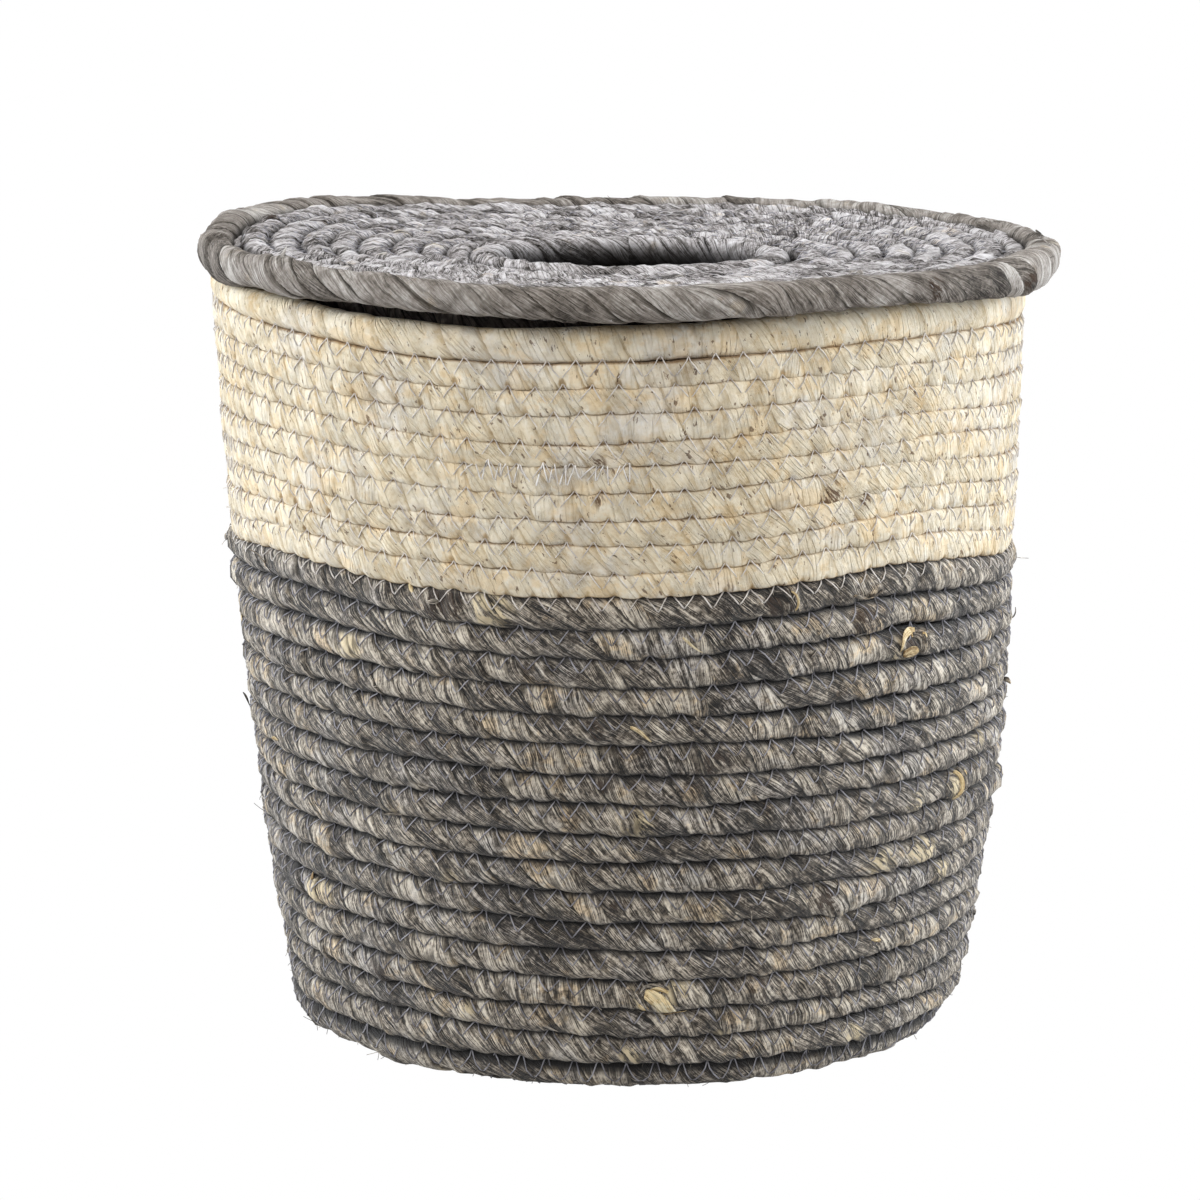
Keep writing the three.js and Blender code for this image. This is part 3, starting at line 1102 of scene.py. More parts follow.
@dataclass(frozen=True)
class LooseEnds:
    """Leaf ends and hairs that stand off the rope, some at chosen places and the rest strewn."""

    skin: Skin
    seed: int

    def curls(self, name: str, curls: tuple[Curl, ...]) -> MeshPiece:
        """Leaf ends that lie curled on the skin.

        Each point is (1 - t)^2 times the first point plus 2t(1 - t) times the second plus t^2 times
        the third, laid round the rope. The middle of a leaf end is lifted furthest and is widest.

        Args:
            name: The piece's name.
            curls: The leaf ends.

        Returns:
            The piece.
        """
        path, rope_radius, thickness = self.skin.path, 5.2, 0.28
        share = np.linspace(0.0, 1.0, 14)
        weights = np.stack([(1.0 - share) ** 2, 2.0 * share * (1.0 - share), share**2])
        right, up = np.moveaxis(np.array([curl.points for curl in curls]), -1, 0) @ weights
        start = path.length_at(np.array([curl.turn for curl in curls]))[:, None]
        turns, thetas = path.turn_at(start - right), up / rope_radius
        lift = 0.35 + 0.5 * np.sin(math.pi * share)
        paths = self.skin.sample(turns, thetas, lift).points
        out = self.skin.sample(turns, thetas, lift + 1.0).points - paths
        side = np.cross(out, np.gradient(paths, axis=1))
        side /= np.linalg.norm(side, axis=-1, keepdims=True)
        lean, width = (np.array([getattr(curl, key) for curl in curls]) for key in ("lean", "half_width"))
        half = width[:, None] * np.sin(math.pi * (0.14 + 0.74 * share)) ** 0.6
        return ribbon_piece(name, paths, side + lean[:, None, None] * out, half, 0.5 * thickness, 8)

    def hairs(self, turns: np.ndarray, thetas: np.ndarray, least: float, most: float) -> np.ndarray:
        """Paths of thin hairs that leave the skin and bend.

        Each point is the root plus length times (share times direction plus bend times squared share).

        Args:
            turns: Turn of each root.
            thetas: Angle round the rope of each root, in radians.
            least: Shortest hair.
            most: Longest hair.

        Returns:
            The paths, as hairs by points by three.
        """
        rng = np.random.default_rng(self.seed)
        root, out, ahead = self.skin.frame_at(turns, thetas)
        count = len(root)
        up = np.cross(out, ahead)
        mix = rng.normal(0.0, 1.0, (count, 3))
        way = out * (0.35 + 0.5 * np.abs(mix[:, :1])) + ahead * mix[:, 1:2] + up * 0.6 * mix[:, 2:]
        way /= np.linalg.norm(way, axis=-1, keepdims=True)
        bend = rng.normal(0.0, 0.35, (count, 3)) - np.array([0.0, 0.0, 0.15])
        length = rng.uniform(least, most, (count, 1, 1)) * rng.uniform(0.4, 1.0, (count, 1, 1))
        share = np.linspace(-0.06, 1.0, 6)[None, :, None]
        return root[:, None] + length * (share * way[:, None] + share**2 * bend[:, None])

    def scraps(
        self, name: str, turns: np.ndarray, thetas: np.ndarray, length: float, width: float
    ) -> MeshPiece:
        """Small ribbons of leaf whose tips have lifted off the rope.

        Each arches out of the skin as a sine, turns aside with the square of the way along it and
        lifts or drops at its tip with the cube.

        Args:
            name: The piece's name.
            turns: Turn of each root.
            thetas: Angle round the rope of each root, in radians.
            length: Greatest length.
            width: Greatest width.

        Returns:
            The piece.
        """
        rng = np.random.default_rng(self.seed + 1)
        root, out, ahead = self.skin.frame_at(turns, thetas)
        count = len(root)
        up = np.cross(out, ahead)
        angle = rng.normal(0.9, 0.5, (count, 1))
        way = ahead * np.cos(angle) - up * np.sin(angle)
        share = np.linspace(0.0, 1.0, 8)[None, :, None]
        size = (length * rng.uniform(0.45, 1.0, count))[:, None, None]
        arch = (0.14 * rng.uniform(0.3, 1.0, count))[:, None, None] * np.sin(math.pi * share * 0.85)
        tip = rng.normal(0.05, 0.18, count)[:, None, None] * share**3
        turnaway = rng.normal(0.0, 0.3, count)[:, None, None] * share**2
        side = np.cross(out, way)
        paths = root[:, None] + size * (share * way[:, None] + turnaway * side[:, None])
        paths = paths + (size * (arch + tip) + 0.15) * out[:, None]
        half = 0.5 * width * rng.uniform(0.5, 1.0, (count, 1))
        half = half * np.sin(math.pi * (0.12 + 0.83 * share[:, :, 0])) ** 0.7
        twist = out[:, None] * rng.normal(0.0, 0.5, (count, 1, 1)) * share
        return ribbon_piece(name, paths, side[:, None] + twist, half, 0.12, 6)


class NodeSketch:
    """Short calls that add nodes to the tree of a material or the world and join them."""

    def __init__(self, owner: bpy.types.Material | bpy.types.World) -> None:
        """Starts with an empty node tree.

        Args:
            owner: The material or the world.
        """
        owner.use_nodes = True
        self.owner = owner
        self.tree = owner.node_tree
        self.tree.nodes.clear()

    def add(self, kind: str, settings: dict | None = None, **inputs: object) -> bpy.types.Node:
        """Adds a node, sets its properties, and fills its inputs with values or links.

        Args:
            kind: The node's type name.
            settings: Properties of the node.
            inputs: Input names, with spaces as underscores, and what goes into them.

        Returns:
            The node.
        """
        node = self.tree.nodes.new(kind)
        for key, value in (settings or {}).items():
            setattr(node, key, value)
        for key, value in inputs.items():
            self.feed(node.inputs[key.replace("_", " ")], value)
        return node

    def feed(self, socket: Socket, value: object) -> None:
        """Links a socket into another, or sets its value.

        Args:
            socket: The input to fill.
            value: An output to link, or a value.
        """
        if isinstance(value, Socket):
            self.tree.links.new(value, socket)
        else:
            socket.default_value = value

    def math(self, operation: str, *values: object, kind: str = "ShaderNodeMath") -> Socket:
        """One sum of numbers.

        Args:
            operation: Its name, such as MULTIPLY or FLOOR.
            values: Outputs or numbers to work on.
            kind: Type name of the node that works it out.

        Returns:
            The result.
        """
        node = self.add(kind, {"operation": operation})
        for socket, value in zip(node.inputs, values):
            self.feed(socket, value)
        return node.outputs[0]

    def vectors(self, operation: str, *values: object) -> Socket:
        """One sum of vectors."""
        return self.math(operation, *values, kind="ShaderNodeVectorMath")

    def band(self, value: object, low: float, high: float, to: tuple[float, float] = (0, 1)) -> Socket:
        """Spreads a range of a number over another range, smoothly and held at both ends.

        Args:
            value: The number.
            low: Where the range starts.
            high: Where it ends, which may be below its start.
            to: Start and end of the other range.

        Returns:
            The number in the other range.
        """
        settings = {"interpolation_type": "SMOOTHSTEP", "clamp": True}
        node = self.add("ShaderNodeMapRange", settings, Value=value)
        for key, number in zip(("From Min", "From Max", "To Min", "To Max"), (low, high, *to)):
            node.inputs[key].default_value = number
        return node.outputs[0]

    def stretch(self, vector: Socket, scale: Triple) -> Socket:
        """Scales a coordinate by a number for each axis."""
        return self.add("ShaderNodeMapping", Vector=vector, Scale=scale).outputs[0]

    def noise(self, vector: Socket, scale: float, detail: float = 3.0, rough: float = 0.6) -> Socket:
        """Cloud noise from about 0.25 to 0.75."""
        node = self.add("ShaderNodeTexNoise", Vector=vector, Scale=scale, Detail=detail, Roughness=rough)
        return node.outputs[0]

    def shade(self, name: str) -> Socket:
        """Reads a number that the mesh keeps at its points."""
        return self.add("ShaderNodeAttribute", {"attribute_name": name}).outputs["Fac"]

    def mix(self, share: object, first: object, second: object, blend: str = "MIX") -> Socket:
        """Mixes two colours.

        Args:
            share: Share of the second colour.
            first: The first colour.
            second: The second colour.
            blend: How the second one acts on the first.

        Returns:
            The colour.
        """
        node = self.add("ShaderNodeMix", {"data_type": "RGBA", "blend_type": blend})
        self.feed(node.inputs[0], share)
        self.feed(node.inputs[6], first)
        self.feed(node.inputs[7], second)
        return node.outputs[2]

    def ramp(self, value: object, stops: tuple[tuple[float, Colour], ...]) -> Socket:
        """Turns a number into a colour by even steps between the stops.

        Args:
            value: The number.
            stops: Numbers from low to high, each with its colour.

        Returns:
            The colour.
        """
        node = self.add("ShaderNodeValToRGB", Fac=value)
        elements = node.color_ramp.elements
        while len(elements) < len(stops):
            elements.new(0.5)
        for element, (place, colour) in zip(elements, stops):
            element.position = place
            element.color = (*colour, 1.0)
        return node.outputs[0]

    def finish(self, shader: bpy.types.Node) -> bpy.types.Material:
        """Sends a shader to the material's output, and hands the material over."""
        self.add("ShaderNodeOutputMaterial", Surface=shader.outputs[0])
        return self.owner


def linear(red: int, green: int, blue: int) -> Colour:
    """A screen colour from 0 to 255 as linear light: ((c + 0.055) / 1.055) to the power 2.4."""
    shares = (c / 255.0 for c in (red, green, blue))
    return tuple(s / 12.92 if s <= 0.04045 else ((s + 0.055) / 1.055) ** 2.4 for s in shares)


@dataclass(frozen=True)
class LeafGrain:
    """What varies over dried leaf: a place in metres, its fibres, and numbers of about 0 to 1.

    Chance is one number for each strip, and fine is the hair of the fibres, round 0. Line is 1 in a
    crack, and tucked is 1 where a strip goes under.
    """

    sketch: NodeSketch
    place: Socket
    fibre: Socket
    chance: Socket
    fine: Socket
    streak: Socket
    crumple: Socket
    line: Socket
    tucked: Socket


@dataclass(frozen=True)
class LeafFinish:
    """Dried leaf: streaked along its fibres, wrinkled and blotched, with shade painted where strips tuck
    under.

    Stretches scale the fibre map, across and along the fibres, and other scales are waves a metre.
    """

    name: str
    slot: str
    tones: tuple[tuple[float, Colour], ...]
    warm: Colour
    warm_share: float
    pale: Colour
    brown: Colour
    # Seam is the colour of the painted shade in the grooves between rows.
    seam: Colour
    hair_contrast: float = 2.0
    # Line depth is how far painted shade darkens the cracks.
    line_depth: float = 0.5
    strip_contrast: float = 0.3
    blotch_contrast: float = 0.65
    crumple_contrast: float = 0.7
    # Crease, groove shade and prick set the painted shade at tucked edges, in the grooves and at needle
    # holes; crease also sets how deep tucked edges cut the relief.
    crease: float = 0.9
    groove_shade: float = 0.85
    prick: float = 0.4
    shadow_warmth: float = 0.1
    fleck_share: float = 0.0
    bleach: float = 0.0
    faded: Colour = (0.92, 0.95, 1.05)
    crumple_scale: float = 650.0
    fan: float = 0.7
    roughness: float = 0.82
    relief: float = 0.0006
    sheen: float = 0.0
    calm: float = 0.3
    hair_stretch: Triple = (2.9, 0.09, 1.0)
    streak_stretch: Triple = (0.4, 0.045, 1.0)
    wrinkle_stretch: Triple = (0.42, 0.05, 1.0)
    ragged_stretch: Triple = (0.5, 0.13, 1.0)
    fleck_stretch: Triple = (0.62, 0.26, 1.0)
    blotch_scale: float = 62.0
    rough_scale: float = 110.0
    tint_scale: float = 85.0
    fade_scale: float = 37.0
    bend_scale: float = 170.0
    bend: float = 1.3

    def build(self) -> bpy.types.Material:
        """Builds the material.

        Returns:
            A material whose colour and relief follow the maps fibre and strip and the rope's shades.
        """
        sketch = NodeSketch(bpy.data.materials.new(self.name))
        grain = self.grain(sketch)
        colour = self.shaded(grain, self.marked(grain, self.toned(grain)))
        relief = self.raised(grain)
        shader = sketch.add(
            "ShaderNodeBsdfPrincipled",
            Base_Color=colour,
            Normal=relief,
            Roughness=self.roughness,
            Specular_IOR_Level=0.2,
            Sheen_Weight=self.sheen,
            Sheen_Roughness=0.6,
        )
        return sketch.finish(shader)

    def grain(self, sketch: NodeSketch) -> LeafGrain:
        """Reads the maps, and adds the noises that every part of the finish shares.

        Args:
            sketch: The material's sketch.

        Returns:
            What varies over the leaf.
        """
        place = sketch.add("ShaderNodeTexCoord").outputs["Object"]
        strip = sketch.add("ShaderNodeUVMap", {"uv_map": "strip"}).outputs[0]
        number = sketch.add("ShaderNodeSeparateXYZ", Vector=strip).outputs[0]
        whole, share = sketch.math("FLOOR", number), sketch.math("FRACT", number)
        chance = sketch.add("ShaderNodeTexWhiteNoise", {"noise_dimensions": "1D"}, W=whole).outputs[0]
        fibre = self.bent_fibres(sketch, place, chance)
        hair = sketch.noise(sketch.stretch(fibre, self.hair_stretch), 1.0, 4.0, 0.72)
        streak = sketch.noise(sketch.stretch(fibre, self.streak_stretch), 1.0, 2.0, 0.5)
        wrinkle = sketch.noise(sketch.stretch(fibre, self.wrinkle_stretch), 1.0, 0.0, 0.5)
        line = sketch.band(sketch.math("ABSOLUTE", sketch.math("SUBTRACT", wrinkle, 0.5)), 0.075, 0.0)
        rough = sketch.noise(place, self.rough_scale, 3.0, 0.6)
        rough = sketch.band(rough, 0.42, 0.6, (1.0 - self.calm, 1.0))
        # Tucked is 1 where a strip's edge goes under the next: it paints shade there and cuts the relief.
        tucked = sketch.band(share, 0.17, 0.0, (0.0, self.crease))
        return LeafGrain(
            sketch=sketch,
            place=place,
            fibre=fibre,
            chance=chance,
            fine=sketch.math("MULTIPLY", sketch.math("SUBTRACT", hair, 0.5), rough),
            streak=streak,
            crumple=sketch.noise(place, self.crumple_scale, 4.0, 0.65),
            line=line,
            tucked=sketch.math("MULTIPLY", tucked, sketch.band(streak, 0.35, 0.6, (0.3, 1.0))),
        )

    def toned(self, grain: LeafGrain) -> Socket:
        """Colour of the plain leaf: its tones, warmer in some places and faded in others.

        The tone is 0.5 plus the sum of every noise, less its middle, times its contrast.

        Args:
            grain: What varies over the leaf.

        Returns:
            The colour.
        """
        sketch = grain.sketch
        # The crumple noise is partly random tone and partly painted light and shade on the small folds
        # that it also raises in the relief.
        tone = sketch.math("MULTIPLY_ADD", grain.fine, self.hair_contrast, 0.5)
        for source, contrast in (
            (grain.streak, 0.3 * self.hair_contrast),
            (sketch.noise(grain.place, self.blotch_scale, 4.0, 0.68), self.blotch_contrast),
            (grain.crumple, self.crumple_contrast),
            (grain.chance, self.strip_contrast),
        ):
            tone = sketch.math("MULTIPLY_ADD", sketch.math("SUBTRACT", source, 0.5), contrast, tone)
        colour = sketch.ramp(tone, self.tones)
        tint = sketch.noise(grain.place, self.tint_scale, 4.0, 0.7)
        tint = sketch.math("MULTIPLY_ADD", sketch.math("SUBTRACT", grain.chance, 0.5), 0.12, tint)
        warm = sketch.band(tint, 0.66 - self.warm_share, 0.76 - self.warm_share, (0.0, 0.7))
        colour = sketch.mix(warm, colour, sketch.mix(1.0, colour, (*self.warm, 1.0), "MULTIPLY"))
        if self.bleach > 0:
            faded = sketch.noise(grain.place, self.fade_scale, 4.0, 0.65)
            faded = sketch.band(faded, 0.68 - self.bleach, 0.78 - self.bleach, (0.0, 0.8))
            colour = sketch.mix(faded, colour, sketch.mix(1.0, colour, (*self.faded, 1.0), "MULTIPLY"))
        return colour

    def marked(self, grain: LeafGrain, colour: Socket) -> Socket:
        """Adds pale and brown knots with ragged edges, and flecks that lie along the fibres.

        Args:
            grain: What varies over the leaf.
            colour: Colour of the plain leaf.

        Returns:
            The colour.
        """
        sketch = grain.sketch
        ragged = sketch.noise(sketch.stretch(grain.fibre, self.ragged_stretch), 1.0, 4.0, 0.7)
        ragged = sketch.band(ragged, 0.4, 0.6, (0.1, 1.5))
        spot = sketch.math("MULTIPLY", sketch.shade("spot"), ragged)
        colour = sketch.mix(sketch.band(spot, 0.15, 0.8, (0.0, 0.85)), colour, (*self.pale, 1.0))
        # The brown knots are partly brown leaf and partly painted shade in folds and hollows.
        dark = sketch.band(sketch.math("MULTIPLY", spot, -1.0), 0.15, 0.8, (0.0, 0.9))
        colour = sketch.mix(dark, colour, (*self.brown, 1.0))
        if self.fleck_share > 0:
            flecks = sketch.noise(sketch.stretch(grain.fibre, self.fleck_stretch), 1.0, 3.0, 0.6)
            flecks = sketch.band(flecks, 0.78 - self.fleck_share, 0.81 - self.fleck_share, (0.0, 0.75))
            colour = sketch.mix(flecks, colour, (*self.brown, 1.0))
        return colour

    def shaded(self, grain: LeafGrain, colour: Socket) -> Socket:
        """Paints shade into the colour at tucked edges, cracks, needle holes and the grooves between rows.

        What is left of the light is the product of one less each shadow. Green keeps the light to
        the power 1 + 0.35w and blue to 1 + 0.9w, where w is the warmth of the shadows.

        Args:
            grain: What varies over the leaf.
            colour: Colour of the marked leaf.

        Returns:
            The colour.
        """
        sketch = grain.sketch
        painted_crack_shade = sketch.math("MULTIPLY", grain.line, self.line_depth)
        painted_hole_shade = sketch.band(sketch.shade("prick"), 0.6, 1.0, (0.0, self.prick))
        painted_hole_shade = sketch.math("MULTIPLY", painted_hole_shade, sketch.band(grain.chance, 0.2, 0.9))
        light = 1.0
        for shadow in (grain.tucked, painted_crack_shade, painted_hole_shade):
            light = sketch.math("MULTIPLY", light, sketch.math("SUBTRACT", 1.0, shadow))
        green, blue = (sketch.math("POWER", light, 1.0 + self.shadow_warmth * p) for p in (0.35, 0.9))
        tinted = sketch.add("ShaderNodeCombineColor", Red=light, Green=green, Blue=blue).outputs[0]
        colour = sketch.mix(1.0, colour, tinted, "MULTIPLY")
        # Painted shade in the grooves between rows, in the seam colour.
        painted_groove_shade = sketch.math("MULTIPLY", sketch.shade("groove_shade"), self.groove_shade)
        return sketch.mix(painted_groove_shade, colour, (*self.seam, 1.0))

    def raised(self, grain: LeafGrain) -> Socket:
        """The leaf's relief, with ridges along the fibres and cuts at cracks and tucked edges.

        Args:
            grain: What varies over the leaf.

        Returns:
            The direction that each place faces.
        """
        sketch = grain.sketch
        ridges = sketch.math("MULTIPLY_ADD", grain.streak, 0.7, grain.fine)
        ridges = sketch.math("MULTIPLY_ADD", grain.crumple, 0.6, ridges)
        ridges = sketch.math("MULTIPLY_ADD", grain.line, -0.35, ridges)
        ridges = sketch.math("MULTIPLY_ADD", grain.tucked, -0.5, ridges)
        return sketch.add("ShaderNodeBump", Height=ridges, Strength=1.0, Distance=self.relief).outputs[0]

    def bent_fibres(self, sketch: NodeSketch, place: Socket, chance: Socket) -> Socket:
        """The fibre map with small random bends, and each strip's fibres leaning their own way.

        Args:
            sketch: The material's sketch.
            place: A place in metres.
            chance: One number from 0 to 1 for each strip.

        Returns:
            Ways across and along the fibres, in millimetres.
        """
        flat = sketch.add("ShaderNodeUVMap", {"uv_map": "fibre"}).outputs[0]
        parts = sketch.add("ShaderNodeSeparateXYZ", Vector=flat)
        turned = sketch.math("MULTIPLY", sketch.math("SUBTRACT", chance, 0.5), self.fan)
        across = sketch.math("MULTIPLY_ADD", parts.outputs[1], turned, parts.outputs[0])
        fibre = sketch.add("ShaderNodeCombineXYZ", X=across, Y=parts.outputs[1]).outputs[0]
        wave = sketch.add("ShaderNodeTexNoise", Vector=place, Scale=self.bend_scale, Detail=2.0)
        centred = sketch.vectors("SUBTRACT", wave.outputs[1], (0.5, 0.5, 0.5))
        return sketch.vectors("MULTIPLY_ADD", centred, (self.bend, self.bend, 0.0), fibre)


@dataclass(frozen=True)
class ThreadFinish:
    """Matt twisted sewing thread, slightly uneven in tone."""

    name: str
    light: Colour
    dark: Colour
    slot: str = "sewing_thread"

    def build(self) -> bpy.types.Material:
        """Builds the material.

        Returns:
            A material whose tone changes from stitch to stitch.
        """
        sketch = NodeSketch(bpy.data.materials.new(self.name))
        place = sketch.add("ShaderNodeTexCoord").outputs["Object"]
        tone = sketch.band(sketch.noise(place, 160.0, 2.0), 0.35, 0.65)
        colour = sketch.mix(tone, (*self.dark, 1.0), (*self.light, 1.0))
        return sketch.finish(sketch.add("ShaderNodeBsdfPrincipled", Base_Color=colour, Roughness=0.7))


GREY_LEAF = LeafFinish(
    name="grey_leaf",
    slot="grey_leaf",
    tones=(
        (0.25, linear(18, 14, 12)),
        (0.40, linear(70, 62, 54)),
        (0.49, linear(130, 120, 108)),
        (0.61, linear(192, 181, 166)),
        (0.79, linear(228, 218, 201)),
    ),
    warm=(1.14, 0.98, 0.74),
    warm_share=0.1,
    pale=linear(226, 208, 172),
    brown=linear(52, 36, 24),
    # Seam: colour of the painted shade in the grooves between rows.
    seam=linear(18, 15, 14),
    groove_shade=1.0,
    hair_contrast=2.15,
    line_depth=0.7,
    strip_contrast=0.17,
    blotch_contrast=0.48,
    crumple_contrast=0.75,
    bleach=0.16,
    faded=(0.95, 0.99, 1.09),
    crease=1.0,
    sheen=0.18,
    calm=0.4,
    relief=0.0009,
)

CREAM_LEAF = LeafFinish(
    name="cream_leaf",
    slot="cream_leaf",
    tones=(
        (0.14, linear(146, 117, 80)),
        (0.32, linear(198, 179, 147)),
        (0.47, linear(218, 205, 180)),
        (0.64, linear(226, 217, 199)),
        (0.88, linear(233, 228, 219)),
    ),
    warm=(1.0, 0.89, 0.73),
    warm_share=0.15,
    pale=linear(228, 226, 222),
    brown=linear(88, 60, 38),
    # Seam: colour of the painted shade in the grooves between rows.
    seam=linear(134, 103, 68),
    hair_contrast=0.75,
    line_depth=0.08,
    strip_contrast=0.12,
    blotch_contrast=0.5,
    crumple_contrast=0.55,
    crease=0.32,
    groove_shade=0.72,
    prick=0.5,
    shadow_warmth=0.8,
    calm=0.8,
    fleck_share=0.15,
    bleach=0.17,
    faded=(0.93, 0.96, 1.06),
    crumple_scale=480.0,
    relief=0.0009,
)

# A lighter, bluer copy of the lid's leaf than the edge's, for the top and the hole rope: its tones are
# partly the leaf's own and partly painted light and bluish reflection on the lid's top.
LID_LEAF = LeafFinish(
    name="lid_leaf",
    slot="lid_leaf",
    tones=(
        (0.22, linear(38, 35, 34)),
        (0.37, linear(116, 111, 109)),
        (0.49, linear(173, 168, 168)),
        (0.63, linear(206, 202, 203)),
        (0.84, linear(226, 224, 226)),
    ),
    warm=(1.08, 0.98, 0.82),
    warm_share=0.04,
    pale=linear(224, 214, 196),
    brown=linear(60, 44, 32),
    # Seam: colour of the painted shade in the grooves between rows.
    seam=linear(20, 17, 16),
    hair_contrast=1.9,
    strip_contrast=0.24,
    blotch_contrast=0.56,
    groove_shade=0.95,
)

EDGE_LEAF = LeafFinish(
    name="lid_edge_leaf",
    slot="lid_leaf",
    tones=(
        (0.20, linear(46, 41, 38)),
        (0.36, linear(106, 99, 92)),
        (0.48, linear(136, 128, 121)),
        (0.62, linear(165, 159, 153)),
        (0.84, linear(208, 204, 199)),
    ),
    warm=(1.06, 0.98, 0.84),
    warm_share=0.04,
    pale=linear(224, 214, 196),
    brown=linear(60, 44, 32),
    # Seam: colour of the painted shade in the groove along the edge rope's sewn side.
    seam=linear(44, 42, 42),
    hair_contrast=1.4,
    line_depth=0.4,
    crumple_contrast=0.4,
    strip_contrast=0.3,
    crease=0.95,
)

STRAW_LEAF = LeafFinish(
    name="straw_leaf",
    slot="grey_leaf",
    tones=(
        (0.25, linear(128, 100, 66)),
        (0.45, linear(206, 184, 142)),
        (0.60, linear(232, 216, 180)),
        (0.80, linear(244, 234, 208)),
    ),
    warm=(1.0, 0.9, 0.72),
    warm_share=0.2,
    pale=linear(240, 230, 206),
    brown=linear(90, 60, 34),
    seam=linear(60, 50, 40),
    line_depth=0.3,
)

# A darker, browner copy of the grey leaf for the locating ring: it paints the shade of the gap under the
# lid.
SHADED_LOCATING_LEAF = replace(
    GREY_LEAF,
    name="shaded_locating_leaf",
    slot="lid_leaf",
    tones=((0.2, linear(46, 38, 33)), (0.5, linear(84, 75, 68)), (0.8, linear(126, 116, 106))),
    hair_contrast=1.2,
    sheen=0.0,
)

PALE_THREAD = ThreadFinish("pale_thread", light=linear(220, 214, 208), dark=linear(180, 172, 167))
# A lighter copy of the sewing thread for the tangle at the band's splice: it paints the highlights on the
# tangle.
HIGHLIT_THREAD = ThreadFinish("highlit_thread", light=linear(236, 233, 230), dark=linear(206, 200, 194))
# A darker copy of the sewing thread, for the grey rows and the lid: it paints the shade that the thread
# lies in on the grey rows.
SHADED_THREAD = ThreadFinish("shaded_thread", light=linear(158, 156, 162), dark=linear(96, 94, 100))


@dataclass
class Materials:
    """Every finish, built once."""

    grey: bpy.types.Material = field(default_factory=GREY_LEAF.build)
    cream: bpy.types.Material = field(default_factory=CREAM_LEAF.build)
    lid: bpy.types.Material = field(default_factory=LID_LEAF.build)
    edge: bpy.types.Material = field(default_factory=EDGE_LEAF.build)
    straw: bpy.types.Material = field(default_factory=STRAW_LEAF.build)
    shaded_locating: bpy.types.Material = field(default_factory=SHADED_LOCATING_LEAF.build)
    pale_thread: bpy.types.Material = field(default_factory=PALE_THREAD.build)
    highlit_thread: bpy.types.Material = field(default_factory=HIGHLIT_THREAD.build)
    shaded_thread: bpy.types.Material = field(default_factory=SHADED_THREAD.build)


def front_turn(row: float, angle: float | np.ndarray) -> float | np.ndarray:
    """Turn at an angle from the front on a row. Row 0 is the first cream one, and grey ones are below."""
    return 0.5 + row - angle / 360.0


def knots_at(*rows: tuple[float, ...]) -> tuple[Knot, ...]:
    """Knots that are each given as a row, an angle from the front and the rest of a knot's numbers."""
    return tuple(Knot(front_turn(row, angle), *rest) for row, angle, *rest in rows)


def strewn_knots(
    first: float, last: float, count: int, reach: float, height: float, seed: int
) -> tuple[Knot, ...]:
    """Small knots at random places on the outside, both pale and brown.

    Args:
        first: Turn where they start.
        last: Turn where they end.
        count: Number of knots.
        reach: Greatest reach.
        height: Greatest height.
        seed: Picks the places.

    Returns:
        The knots.
    """
    rng = np.random.default_rng(seed)
    widest, brown, pale = 55.0, -0.9, 0.75
    least = (first, -widest, 0.4 * reach, 0.2 * height, brown)
    most = (last, widest, reach, height, pale)
    rows = rng.uniform(least, most, (count, len(least)))
    return tuple(Knot(*(float(v) for v in row)) for row in rows)


# Knots below 0 in tone are brown, partly brown leaf and partly painted shade: those of tone -5 are dips
# that paint the shade in the hollows under the curled leaf ends at the splices, and the brown ones beside
# bulges paint the shade of their folds.
GREY_KNOTS = knots_at(
    (-1, -86.0, 15.0, 6.5, 1.9, 0.0),
    (-2, -84.0, 5.0, 6.0, 1.0, 0.0),
    (-1, -25.0, 5.0, 5.0, 1.3, -1.8),
    (-1, -18.5, 10.0, 5.5, 0.8, 0.9),
    (-1, 22.0, -5.0, 3.0, 0.9, -1.9),
    (-3, 44.4, -8.0, 4.6, 1.6, 1.1),
    (-3, 45.0, 10.0, 2.4, -0.7, -5.0),
    (-14, 6.5, -12.0, 6.2, 2.0, 1.4),
    (-14, 5.0, 34.0, 2.1, -0.9, -5.0),
    (-14, 9.5, -20.0, 2.2, 0.6, -0.9),
    (-12, -53.0, 0.0, 4.0, 1.2, 0.7),
    (-8, 2.0, 5.0, 4.5, 0.7, 0.7),
    (-10, 42.0, 0.0, 4.5, 0.8, 0.7),
    (-2, 35.5, 5.0, 2.8, 1.2, -1.5),
    (-2, 38.5, 0.0, 5.5, 1.9, 0.15),
    (-11, 32.0, 10.0, 3.2, 0.8, -1.6),
    (-11, 35.0, 0.0, 6.0, 1.7, 0.2),
    (-10, 51.0, 0.0, 4.2, 1.3, 1.4),
    (-8, 58.0, -5.0, 3.8, 1.6, 0.9),
    (-3, -42.0, 5.0, 4.2, 0.7, 0.9),
    (-12, -56.0, 0.0, 3.2, 1.2, 1.3),
)
UPPER_SPLICE, LOWER_SPLICE = front_turn(-3, 44.4), front_turn(-14, 5.5)
